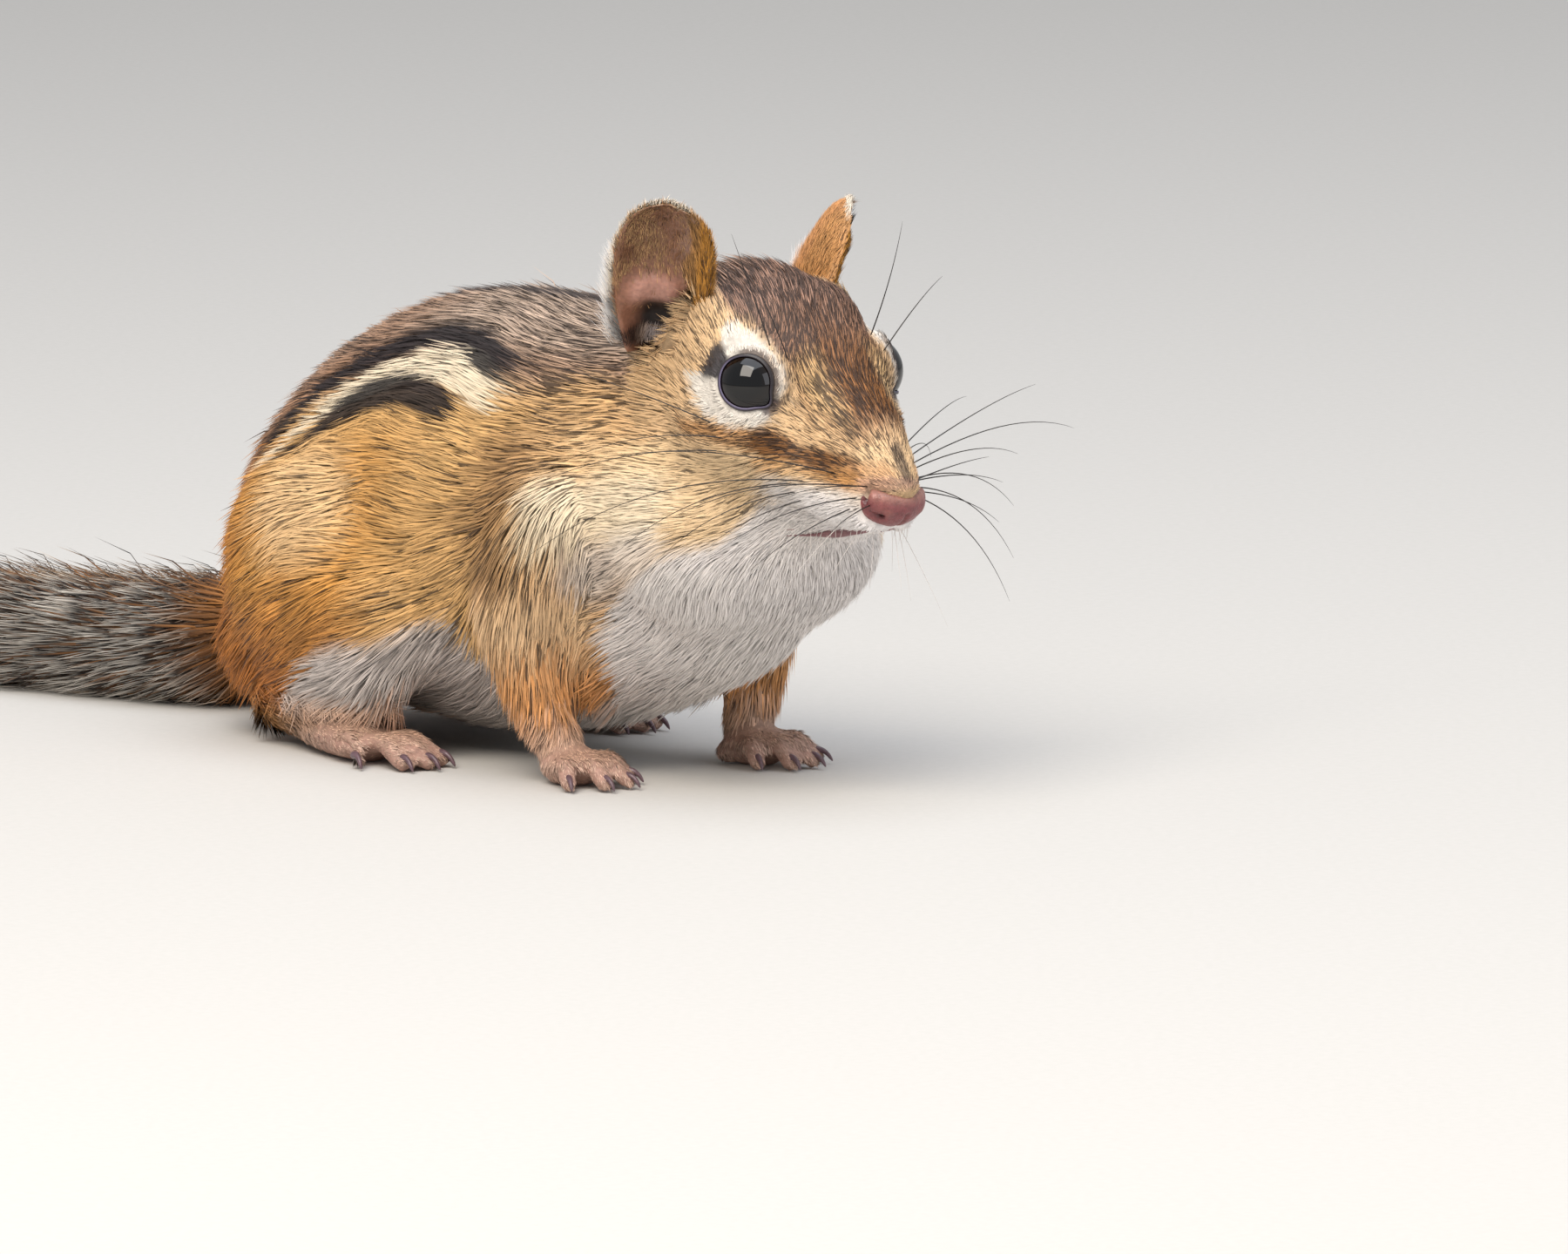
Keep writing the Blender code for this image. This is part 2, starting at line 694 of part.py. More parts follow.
nodes["head"] = part_off(flesh, "head", front_of(HEAD_LINE), front_of(HEAD_LINE, GAP))
nodes["neck"] = part_off(flesh, "neck", front_of(NECK_LINE), front_of(NECK_LINE, GAP))
for name, side in SIDES.items():
    paw = [(6, -3), (34, -3), (34, 4.6), (6, 4.6)]
    grown_paw = [(6, -3), (34, -3), (34, 4.6 + GAP), (6, 4.6 + GAP)]
    nodes[f"forepaw_{name}"] = part_off(
        flesh, "forepaw", prism(paw, 5 * side, 26 * side), prism(grown_paw, 5 * side, 26 * side)
    )
    centre, radii = (17.5 * side, {"left": 28.5, "right": 32}[name], 15.5), (8.8, 11.5, 19)
    nodes[f"foreleg_{name}"] = part_off(
        flesh, "foreleg", ball(centre, radii), ball(centre, [r + GAP for r in radii])
    )
    foot = [(32, -3), (83, -3), (83, 4.6), (66, 6.2), (50, 7.5), (32, 7.5)]
    grown_foot = [(y + (GAP if y == 83 else 0), z + (GAP if z > 0 else 0)) for y, z in foot]
    foot_bar = prism(foot, 12.5 * side, 30 * side)
    nodes[f"hindfoot_{name}"] = part_off(
        flesh, "hindfoot", foot_bar, prism(grown_foot, (12.5 - GAP) * side, 30 * side)
    )
    centre, radii = (22 * side, 70, 19), (14, 22, 22)
    nodes[f"hindleg_{name}"] = part_off(
        flesh, "hindleg", ball(centre, radii), ball(centre, [r + GAP for r in radii])
    )
nodes["torso"] = flesh

COLOURS = {
    "eye": (0.01, 0.01, 0.012),
    "ear": (0.35, 0.16, 0.09),
    "fore": (0.55, 0.3, 0.14),
    "hind": (0.5, 0.25, 0.1),
    "tail": (0.28, 0.2, 0.14),
    "head": (0.4, 0.24, 0.13),
    "neck": (0.45, 0.3, 0.18),
    "torso": (0.4, 0.26, 0.15),
}
low = [1e9, 1e9, 1e9]
high = [-1e9, -1e9, -1e9]
for obj in nodes.values():
    for vert in obj.data.vertices:
        for axis in range(3):
            low[axis] = min(low[axis], vert.co[axis])
            high[axis] = max(high[axis], vert.co[axis])
shift = Vector(((low[0] + high[0]) / -2, (low[1] + high[1]) / -2, -low[2]))
for name, obj in nodes.items():
    obj.name = name
    obj.data.name = name
    obj.data.transform(Matrix.Scale(MM, 4) @ Matrix.Translation(shift))
    obj.vertex_groups.clear()
    kind = "claw" if "claw" in name else name.split("_")[0]
    colour = COLOURS.get(kind) or COLOURS.get(kind[:4], (0.12, 0.08, 0.07))
    finish(obj, colour, 0.15 if kind == "eye" else 0.7)
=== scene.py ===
"""Looks of a life-size museum model of an eastern chipmunk, crouched with its tail laid behind it.

Sizes are in millimetres in the animal's own frame until a piece is finished: x to its left, y backwards
from the midpoint between its eyes, and z up from the floor.
"""

import math

import bmesh
import bpy
import numpy as np
from mathutils import Matrix, Vector
from mathutils.bvhtree import BVHTree
from mathutils.kdtree import KDTree


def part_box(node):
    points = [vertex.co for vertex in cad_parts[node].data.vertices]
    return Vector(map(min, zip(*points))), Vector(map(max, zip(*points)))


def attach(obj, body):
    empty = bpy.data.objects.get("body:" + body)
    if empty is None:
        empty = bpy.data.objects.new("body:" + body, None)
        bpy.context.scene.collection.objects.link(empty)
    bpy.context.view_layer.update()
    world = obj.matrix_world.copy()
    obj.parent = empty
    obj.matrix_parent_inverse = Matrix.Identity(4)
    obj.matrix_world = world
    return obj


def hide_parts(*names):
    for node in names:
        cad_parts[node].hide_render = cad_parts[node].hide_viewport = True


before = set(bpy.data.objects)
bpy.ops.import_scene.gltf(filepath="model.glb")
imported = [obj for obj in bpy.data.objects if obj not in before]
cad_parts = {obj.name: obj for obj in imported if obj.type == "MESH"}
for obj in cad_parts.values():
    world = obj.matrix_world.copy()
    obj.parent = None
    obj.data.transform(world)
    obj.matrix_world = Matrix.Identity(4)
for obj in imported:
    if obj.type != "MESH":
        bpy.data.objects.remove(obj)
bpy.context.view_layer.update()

# The studio: a plain pale floor, a large soft light overhead, a soft key light from the upper left of
# the picture and a weak fill, and a long lens level with the animal's shoulder.

MILLIMETRE = 0.001
# The midpoint between the eyes, how far the head is bent down from there, and the eyes' size and places
EYE_HEIGHT = 48.4
HEAD_PITCH = 18.0
EYEBALL_RADIUS = 4.1
EYE_OUT = 8.9
EYE_BACK = 1.2
# The camera: degrees round the animal and above its level, and metres away, to the right and up
VIEW_TURN = -42
VIEW_RISE = 8
CAMERA_AWAY = 2.0
CAMERA_RIGHT = -0.0038
CAMERA_UP = -0.0282

eye_low, eye_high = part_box("eye_right")
eye_turned_back = EYE_BACK * math.cos(math.radians(HEAD_PITCH))
animal_frame = Matrix.Translation(
    (
        0.5 * (eye_low.x + eye_high.x) + MILLIMETRE * EYE_OUT,
        0.5 * (eye_low.y + eye_high.y) - MILLIMETRE * eye_turned_back,
        0,
    )
) @ Matrix.Scale(MILLIMETRE, 4)
HEAD = Matrix.Translation((0, 0, EYE_HEIGHT)) @ Matrix.Rotation(math.radians(HEAD_PITCH), 4, "X")


def linear(colour):
    """An sRGB hex colour as linear red, green and blue."""
    parts = [int(colour[i : i + 2], 16) / 255 for i in (1, 3, 5)]
    return [c / 12.92 if c <= 0.04045 else ((c + 0.055) / 1.055) ** 2.4 for c in parts]


def add_node(tree, kind, inputs=None, **settings):
    """Adds a node, and gives each input a value, or a link if the value is another node's output."""
    node = tree.nodes.new(kind)
    for name, value in settings.items():
        setattr(node, name, value)
    for name, value in (inputs or {}).items():
        if isinstance(value, bpy.types.NodeSocket):
            tree.links.new(value, node.inputs[name])
        else:
            node.inputs[name].default_value = value
    return node


def new_material(name, finish):
    """A material, its nodes, its shader with the even values of its finish, and the place on a piece."""
    material = bpy.data.materials.new(name)
    material.use_nodes = True
    tree = material.node_tree
    shader = tree.nodes["Principled BSDF"]
    for socket, value in finish.items():
        shader.inputs[socket].default_value = value
    return material, tree, shader, add_node(tree, "ShaderNodeTexCoord").outputs["Object"]


def two_tone_material(name, tones, finish, noise, stretch=None):
    """A material that wanders between two tones in a fine noise, drawn out by a stretch if there is one."""
    material, tree, shader, place = new_material(name, finish)
    if stretch:
        drawn = add_node(tree, "ShaderNodeMapping", {"Vector": place, "Scale": stretch})
        place = drawn.outputs["Vector"]
    grain = add_node(tree, "ShaderNodeTexNoise", {"Vector": place, **noise})
    ramp = add_node(tree, "ShaderNodeValToRGB", {0: grain.outputs["Fac"]})
    for stop, tone in zip(ramp.color_ramp.elements, tones):
        stop.color = (*linear(tone), 1)
    tree.links.new(ramp.outputs["Color"], shader.inputs["Base Color"])
    return material


def stained_material(name, finish, noise, shades):
    """A material whose painted colours are mottled by a noise from its darker to its lighter shade."""
    material, tree, shader, place = new_material(name, finish)
    stain = add_node(tree, "ShaderNodeAttribute", attribute_name="coat")
    mottle = add_node(tree, "ShaderNodeTexNoise", {"Vector": place, **noise})
    dark, light = shades
    spread = {0: mottle.outputs["Fac"], 1: 0.3, 2: 0.7, 3: dark, 4: light}
    shade = add_node(tree, "ShaderNodeMapRange", spread)
    factors = {0: stain.outputs["Color"], 1: shade.outputs[0]}
    mixed = add_node(tree, "ShaderNodeVectorMath", factors, operation="MULTIPLY")
    tree.links.new(mixed.outputs[0], shader.inputs["Base Color"])
    return material, tree, shader, place, mottle


def finished_mesh(shape, name):
    """The mesh of a modelled shape, which is then let go."""
    mesh = bpy.data.meshes.new(name)
    shape.to_mesh(mesh)
    shape.free()
    return mesh


def add_piece(name, mesh, material, replaced=()):
    """Puts a finished mesh, modelled in millimetres, in its place in the frame."""
    mesh.name = name
    mesh.transform(animal_frame)
    mesh.materials.append(material)
    piece = bpy.data.objects.new(name, mesh)
    bpy.context.scene.collection.objects.link(piece)
    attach(piece, "root")
    if replaced:
        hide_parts(*replaced)
    return piece


# Matt floor paint: pale, almost without gloss, and speckled a millimetre apart so that it isn't one flat tone
floor_paint = two_tone_material(
    "matt_floor_paint",
    ("#c6c4bf", "#cecbc7"),
    {"Roughness": 0.8, "Specular IOR Level": 0.1},
    {"Scale": 900.0, "Detail": 3.0},
)
sheet = bmesh.new()
bmesh.ops.create_grid(sheet, x_segments=1, y_segments=1, size=6.0)
floor_mesh = finished_mesh(sheet, "floor")
floor_mesh.materials.append(floor_paint)
floor = bpy.data.objects.new("floor", floor_mesh)
bpy.context.scene.collection.objects.link(floor)


def bearing(turn, rise):
    """The direction at so many degrees round the animal and above its level."""
    turn, rise = math.radians(turn), math.radians(rise)
    return Vector((math.sin(turn) * math.cos(rise), -math.cos(turn) * math.cos(rise), math.sin(rise)))


toward_camera = bearing(VIEW_TURN, VIEW_RISE)
view_right = Vector((0, 0, 1)).cross(toward_camera).normalized()
view_up = toward_camera.cross(view_right)
between_eyes = animal_frame @ Vector((0, 0, EYE_HEIGHT))
lens = bpy.data.cameras.new("camera")
lens.lens = 400
lens.sensor_width = 36
lens.clip_start = 0.1
camera = bpy.data.objects.new("camera", lens)
bpy.context.scene.collection.objects.link(camera)
camera.location = between_eyes + CAMERA_RIGHT * view_right + CAMERA_UP * view_up + CAMERA_AWAY * toward_camera
camera.rotation_euler = toward_camera.to_track_quat("Z", "Y").to_euler()
bpy.context.scene.camera = camera


def add_lamp(name, turn, rise, distance, size, power, colour):
    """A square soft light that faces the animal from a bearing and a height in degrees."""
    lamp = bpy.data.lights.new(name, "AREA")
    lamp.size = size
    lamp.energy = power
    lamp.color = linear(colour)
    toward = bearing(turn, rise)
    light = bpy.data.objects.new(name, lamp)
    bpy.context.scene.collection.objects.link(light)
    light.location = between_eyes + distance * toward
    light.rotation_euler = toward.to_track_quat("Z", "Y").to_euler()


add_lamp("key", -70, 48, 1.1, 0.7, 11.5, "#fff6ea")
add_lamp("overhead", 0, 85, 1.2, 1.2, 10.5, "#eef4ff")
add_lamp("fill", 15, 20, 1.6, 1.0, 5.0, "#f4f6ff")
world = bpy.data.worlds.new("studio")
world.use_nodes = True
backdrop = world.node_tree.nodes["Background"]
backdrop.inputs["Color"].default_value = (*linear("#e9ebee"), 1)
backdrop.inputs["Strength"].default_value = 0.55
bpy.context.scene.world = world
bpy.context.scene.view_settings.view_transform = "Standard"

# The skin: one surface over the whole body, which lies under the outline of the coat by the coat's depth.
# It is the tanned hide of the model, bare only at the soles, round the eyes and on the lips.

FLESH = ["head", "neck", "torso"]
for limb in ("foreleg", "forepaw", "hindleg", "hindfoot"):
    FLESH += [f"{limb}_left", f"{limb}_right"]
# The grain of the skin's mesh, and how far the solids swell first so that thin toes keep their girth
SKIN_GRAIN = 0.55
SWELL = 0.22
# How far the sockets' floors lie from the eyes' middles
SOCKET_RADIUS = 3.6
# The nose pad's middle and half sizes in the head's frame, and how deep its bed lies, as a share of them
PAD_PLACE = (0, -15.9, -8.0)
PAD_SIZE = (4.3, 3.15, 2.95)
PAD_BED = 0.72
SIDES = {"left": 1, "right": -1}
# The middle of the tail, from the rump to the tip
TAIL = [
    (0, 80, 15.0), (0, 90, 12.3), (-0.2, 99, 9.2), (-1.6, 111, 7.2), (-4.5, 125, 6.6), (-9, 140, 6.2),
    (-14.5, 154, 5.4), (-20.0, 167, 4.2),
]
EYES = {name: HEAD @ Vector((EYE_OUT * side, EYE_BACK, 0)) for name, side in SIDES.items()}
NOSE = HEAD @ Vector((0, -18.0, -8.6))
HEAD_TURN = HEAD.to_3x3()
GAZE = {
    name: (HEAD_TURN @ Vector((0.86 * side, -0.44, 0.33))).normalized() for name, side in SIDES.items()
}


def joined_copy(name):
    """A solid's mesh with its loose triangles joined, in the animal's own frame."""
    bm = bmesh.new()
    bm.from_mesh(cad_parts[name].data)
    bmesh.ops.remove_doubles(bm, verts=bm.verts, dist=1e-6)
    bmesh.ops.transform(bm, matrix=animal_frame.inverted(), verts=bm.verts)
    bm.normal_update()
    return bm


def read_points(mesh):
    """The places of a mesh's points."""
    values = np.empty(len(mesh.vertices) * 3, np.float32)
    mesh.vertices.foreach_get("co", values)
    return values.reshape(-1, 3).astype(np.float64)


def read_normals(mesh):
    """The directions of a mesh's surface at its points."""
    values = np.empty(len(mesh.vertices) * 3, np.float32)
    mesh.vertex_normals.foreach_get("vector", values)
    return values.reshape(-1, 3).astype(np.float64)


def unit(vectors):
    """Vectors brought to a length of 1."""
    return vectors / np.maximum(np.linalg.norm(vectors, axis=-1, keepdims=True), 1e-9)


def step_up(values, low, high):
    """Rises smoothly from 0 to 1 as the values go from low to high, or falls if low is the higher one."""
    t = np.clip((values - low) / (high - low), 0, 1)
    return t * t * (3 - 2 * t)


def near_path(points, path):
    """Each point's distance from a path, and the share of the path at its nearest place."""
    best = np.full(len(points), 1e9)
    share = np.zeros(len(points))
    stops = np.array(path, float)
    for i in range(len(stops) - 1):
        run = stops[i + 1] - stops[i]
        t = np.clip((points - stops[i]) @ run / (run @ run), 0, 1)
        away = np.linalg.norm(points - stops[i] - t[:, None] * run, axis=1)
        closer = away < best
        best = np.where(closer, away, best)
        share = np.where(closer, (i + t) / (len(stops) - 1), share)
    return best, share


def near_spot(points, spot):
    """Each point's distance from one place."""
    return np.linalg.norm(points - np.array(spot), axis=1)


def mirrored(points):
    """Points of both flanks on the left one."""
    return np.column_stack((np.abs(points[:, 0]), points[:, 1], points[:, 2]))


# Lines down the legs and out along the feet
FORE_LINES = {
    "left": [
        (13.0, 26, 30), (15.2, 28, 18), (14.8, 27.9, 9), (13.6, 26.5, 3), (13.4, 20.0, 1.5), (13.4, 16.5, 1),
    ],
    "right": [
        (-13.0, 28, 30), (-15.0, 33.5, 18), (-14.0, 31.8, 9), (-13.4, 28.7, 3), (-13.4, 22.2, 1.5),
        (-13.4, 18.7, 1),
    ],
}
HIND_LINES = {
    "left": [(17.2, 79, 3.0), (19.0, 62.5, 2.2), (19.0, 50.5, 1.2)],
    "right": [(-17.2, 76, 3.0), (-19.0, 57, 2.2), (-19.0, 45, 1.2)],
}


def foot_share(points):
    """1 on the four feet and the wrists, and 0 where the long coat starts."""
    share = np.zeros(len(points))
    for name in SIDES:
        reach, along = near_path(points, FORE_LINES[name])
        share = np.maximum(share, step_up(reach, 9.0, 6.5) * step_up(along, 0.2, 0.62))
        reach, along = near_path(points, HIND_LINES[name])
        share = np.maximum(share, step_up(reach, 6.5, 4.2) * step_up(along, 0.0, 0.4))
    return share


def coat_depth(points):
    """How far the skin lies under the outline of the coat."""
    muzzle = near_spot(points, NOSE)
    depth = np.interp(muzzle, [2.5, 7, 14, 24, 40], [0.1, 0.4, 0.8, 1.3, 2.1])
    foot = foot_share(points)
    depth = depth * (1 - foot) + np.interp(points[:, 2], [2.5, 6, 16], [0.12, 0.4, 0.9]) * foot
    for eye in EYES.values():
        depth = np.minimum(depth, np.interp(near_spot(points, eye), [5.0, 9, 14], [0.45, 0.8, 2.1]))
    return depth


# The opening between the lids: its radius, and the turn, reach and width of its front and back corners
OPENING_RADIUS = 2.95
CORNERS = [(-16, 0.55, 0.30), (166, 0.15, 0.5)]


def opening(turn):
    """Degrees off the gaze at which the lids end, all round the eye."""
    radius = OPENING_RADIUS - 0.08 * np.sin(turn) ** 2
    for place, reach, width in CORNERS:
        away = (turn - math.radians(place) + math.pi) % (2 * math.pi) - math.pi
        radius = radius + reach * np.exp(-((away / width) ** 2))
    return np.degrees(np.arcsin(radius / EYEBALL_RADIUS))


def eye_axes(name):
    """Forward and upward directions square to an eye's gaze."""
    axis = GAZE[name]
    nose_way = HEAD_TURN @ Vector((0, -1, 0))
    forward = (nose_way - axis * axis.dot(nose_way)).normalized()
    up = forward.cross(axis)
    return forward, up if up.z > 0 else -up


def eye_polar(points, name):
    """Distance from an eye's centre, degrees off its gaze, and the angle round it from the nose upwards."""
    forward, up = eye_axes(name)
    offset = points - np.array(EYES[name])
    reach = np.linalg.norm(offset, axis=1)
    off_gaze = np.degrees(np.arccos(np.clip(offset @ np.array(GAZE[name]) / reach, -1, 1)))
    return reach, off_gaze, np.arctan2(offset @ np.array(up), offset @ np.array(forward))


def pad_distance(points):
    """Distance from the middle of the nose pad, 1 at its surface, and the share in which it is bare."""
    offset = (points - np.array(HEAD.translation)) @ np.array(HEAD_TURN) - np.array(PAD_PLACE)
    offset = offset / np.array(PAD_SIZE)
    bare_share = step_up(offset[:, 2], 0.66, 0.46) * step_up(offset[:, 1], 0.15, -0.1)
    return np.linalg.norm(offset, axis=1), bare_share


def stain_points(mesh, colours):
    """Gives a mesh's points the colours that its material reads."""
    stain = mesh.color_attributes.new("coat", "FLOAT_COLOR", "POINT")
    rgba = np.concatenate((colours, np.ones((*colours.shape[:-1], 1))), axis=-1)
    stain.data.foreach_set("color", rgba.astype(np.float32).ravel())


def write_points(mesh, points):
    """Moves a mesh's points to new places."""
    mesh.vertices.foreach_set("co", points.astype(np.float32).ravel())
    mesh.update()


def settle(mesh, weights, times, strength=0.5):
    """Smooths a mesh by moving each point towards the middle of its neighbours."""
    ends = np.empty(len(mesh.edges) * 2, np.int32)
    mesh.edges.foreach_get("vertices", ends)
    a, b = ends.reshape(-1, 2).T
    points = read_points(mesh)
    count = np.bincount(a, minlength=len(points)) + np.bincount(b, minlength=len(points))
    for _ in range(times):
        total = np.empty_like(points)
        for axis in range(3):
            total[:, axis] = np.bincount(a, points[b, axis], len(points))
            total[:, axis] += np.bincount(b, points[a, axis], len(points))
        points += strength * weights[:, None] * (total / count[:, None] - points)
    write_points(mesh, points)


def surface_of(mesh):
    """A mesh's points, its directions there and the points of its triangles."""
    mesh.calc_loop_triangles()
    corners = np.empty(len(mesh.loop_triangles) * 3, np.int32)
    mesh.loop_triangles.foreach_get("vertices", corners)
    return read_points(mesh), read_normals(mesh), corners.reshape(-1, 3)


def after_modifier(mesh, kind, **settings):
    """A mesh as it comes out of one modifier."""
    wrap = bpy.data.objects.new("wrap", mesh)
    bpy.context.scene.collection.objects.link(wrap)
    modifier = wrap.modifiers.new("shaping", kind)
    for name, value in settings.items():
        setattr(modifier, name, value)
    shaped = bpy.data.meshes.new_from_object(wrap.evaluated_get(bpy.context.evaluated_depsgraph_get()))
    bpy.data.objects.remove(wrap)
    return shaped


# The solids, a ball round each eye and a thin core for the tail, all fused into one skin
clay = bmesh.new()
for name in FLESH:
    lump = joined_copy(name)
    for vert in lump.verts:
        vert.co += SWELL * vert.normal
    lump_mesh = finished_mesh(lump, "lump")
    clay.from_mesh(lump_mesh)
    bpy.data.meshes.remove(lump_mesh)
for eye in EYES.values():
    place = Matrix.Translation(eye)
    bmesh.ops.create_icosphere(clay, subdivisions=4, radius=EYEBALL_RADIUS + 0.6, matrix=place)
tail_line = [Vector(stop) for stop in TAIL]
for here, ahead in zip(tail_line, tail_line[1:]):
    for k in range(8):
        spot = here.lerp(ahead, k / 8)
        thick = max(1.6, 3.6 - 0.017 * (spot.y - 80))
        bmesh.ops.create_icosphere(clay, subdivisions=2, radius=thick, matrix=Matrix.Translation(spot))
skin_mesh = after_modifier(finished_mesh(clay, "skin"), "REMESH", mode="VOXEL", voxel_size=SKIN_GRAIN)
hide_points = read_points(skin_mesh)
tail_reach, tail_along = near_path(hide_points, tail_line)
on_tail = (tail_reach < 6) & (tail_along > 0.08)
# It is smoothed, least on the feet, the nose and round the eyes, and sunk by the depth of the coat
softness = 1 - 0.85 * foot_share(hide_points)
softness = np.minimum(softness, np.interp(near_spot(hide_points, NOSE), [5, 14], [0.25, 1]))
for eye in EYES.values():
    softness = np.minimum(softness, np.interp(near_spot(hide_points, eye), [6, 11], [0.15, 1]))
settle(skin_mesh, softness, 14)
hide_points = read_points(skin_mesh)
outward = read_normals(skin_mesh)
sink = np.where(on_tail, 0.0, coat_depth(hide_points))
write_points(skin_mesh, hide_points - sink[:, None] * outward)
settle(skin_mesh, softness, 6)
# The eye sockets behind the lids, and the bed of the nose pad
hide_points = read_points(skin_mesh)
for name, eye in EYES.items():
    reach, off_gaze, turn = eye_polar(hide_points, name)
    sunk = np.where(reach < 6.5, step_up(off_gaze, opening(turn) + 8, opening(turn) + 3), 0)
    pull = 1 - sunk * (1 - SOCKET_RADIUS / reach)
    hide_points = np.array(eye) + (hide_points - np.array(eye)) * pull[:, None]
pad_middle = np.array(HEAD @ Vector(PAD_PLACE))
pad_reach, pad_bare = pad_distance(hide_points)
pressed = pad_bare * step_up(pad_reach, 1.16, 1.06)
pull = 1 - pressed * (1 - PAD_BED / np.maximum(pad_reach, PAD_BED))
hide_points = pad_middle + (hide_points - pad_middle) * pull[:, None]
hide_points[:, 2] = np.maximum(hide_points[:, 2], 0.02)
write_points(skin_mesh, hide_points)

# Middle lines of the left flank's stripes and of the back's, and half their widths along the way
STRIPES = {
    "upper": [
        (13.9, 37, 46.7), (13.1, 43.4, 48.5), (12.4, 47.2, 49.5), (11.9, 50.9, 50.0), (12.3, 55.8, 49.1),
        (12.8, 61.6, 47.6), (13.6, 66.6, 45.4), (14.0, 71.8, 42.3), (14.3, 76.7, 38.8), (14.2, 81.2, 35.1),
        (14.2, 87, 28.5),
    ],
    "cream": [
        (16.1, 38.8, 43.1), (14.8, 44.5, 46.0), (14.5, 48.9, 46.8), (14.7, 54.5, 46.4), (15.2, 59.6, 44.9),
        (15.8, 63.9, 42.9), (16.3, 68.5, 40.4), (16.6, 72.5, 37.8), (16.9, 77, 34.6), (17.2, 83, 30.0),
    ],
    "lower": [
        (17.7, 46.5, 40.2), (17.0, 48.5, 42.4), (16.6, 53.0, 43.6), (16.6, 57.2, 43.2), (16.8, 61.4, 42.1),
        (17.3, 65.2, 40.1), (17.5, 68.6, 38.1), (18.0, 73, 35.0), (18.4, 79, 30.4),
    ],
    "middle": [(0, 20, 58), (0, 40, 57.5), (0, 64, 53), (0, 95, 30)],
}
STRIPE_WIDTHS = {
    "upper": (1.8, 1.45, 1.1), "cream": (2.4, 1.3, 1.0), "lower": (2.3, 1.6, 1.1), "middle": (1.7, 1.6, 1.3),
}
# The line inside the body round which the back is unrolled, and how far from it the back lies
BACK_AXIS = [(0, 0, 46), (0, 14, 40), (0, 30, 31), (0, 53, 28.3), (0, 74, 23.8), (0, 92, 15)]
BACK_REACH = 21.0


def wander(points, grain, seed):
    """A smooth random value between about -1 and 1 that changes over a distance of the grain."""
    turns = np.random.default_rng(seed).normal(size=(6, 3))
    phases = np.random.default_rng(seed + 1).uniform(0, 2 * math.pi, 6)
    return np.sin(points @ (unit(turns) / grain * 2.2).T + phases).sum(1) / 3.0


def blend(colour, share, other):
    """Colours with a share of another shade laid over them."""
    return colour * (1 - share[:, None]) + np.array(linear(other)) * share[:, None]


def paint(colour, *layers):
    """Colours with more shades laid over them in turn, each by its share at each point."""
    for share, shade in layers:
        colour = blend(colour, share, shade)
    return colour


# Height of the white underside's edge above the floor, from the chin to the tail
WHITE_EDGE = [
    (-15, 34.6), (-12, 35.6), (-10, 36.4), (-6, 37.4), (-2, 38.0), (1, 34.6), (3, 31.0), (8, 28.0),
    (20, 22.5), (27, 16.0), (34, 12.0), (42, 12.5), (47, 16.0), (49, 16.2), (53, 14.0), (61, 12.2),
    (66, 11.0), (70, 5.0), (74, -1.0), (78, -5.0), (95, -5.0),
]
# Half the width of the dark crown, from the nose back to the neck
CROWN_EDGE = [
    (-17, 1.0), (-13, 3.2), (-8, 5.7), (-6, 6.4), (-5, 6.9), (-2.5, 7.0), (-0.8, 7.4), (1, 8.4), (3.7, 9.3),
    (6, 9.0), (10, 6.6), (20, 5.6),
]
# How far the white round the eye reaches, in degrees from the nose upwards and millimetres
EYE_WHITE = [
    (0, 4.0), (10, 4.5), (21, 4.7), (45, 4.6), (66, 4.4), (87, 4.4), (104, 4.8), (122, 5.8), (140, 7.8),
    (150, 7.2), (160, 5.0), (185, 5.0), (193, 6.5), (199, 8.6), (210, 7.6), (228, 6.8), (245, 6.1),
    (291, 5.2), (320, 5.4), (334, 4.6), (346, 3.4), (360, 4.0),
]
# The brown lines over the eye and along the side of the muzzle
BROW_LINE = [
    (12.7, 11.8, 45.1), (13.2, 9.7, 43.4), (13.8, 5.3, 43.7), (12.4, -0.6, 42.9), (8.9, -4.4, 41.6),
    (6.2, -7.1, 40.4),
]
MUZZLE_LINE = [(10.5, -2.6, 42.4), (8.9, -4.2, 41.6), (6.2, -7.1, 40.3), (5.0, -10.2, 39.4)]
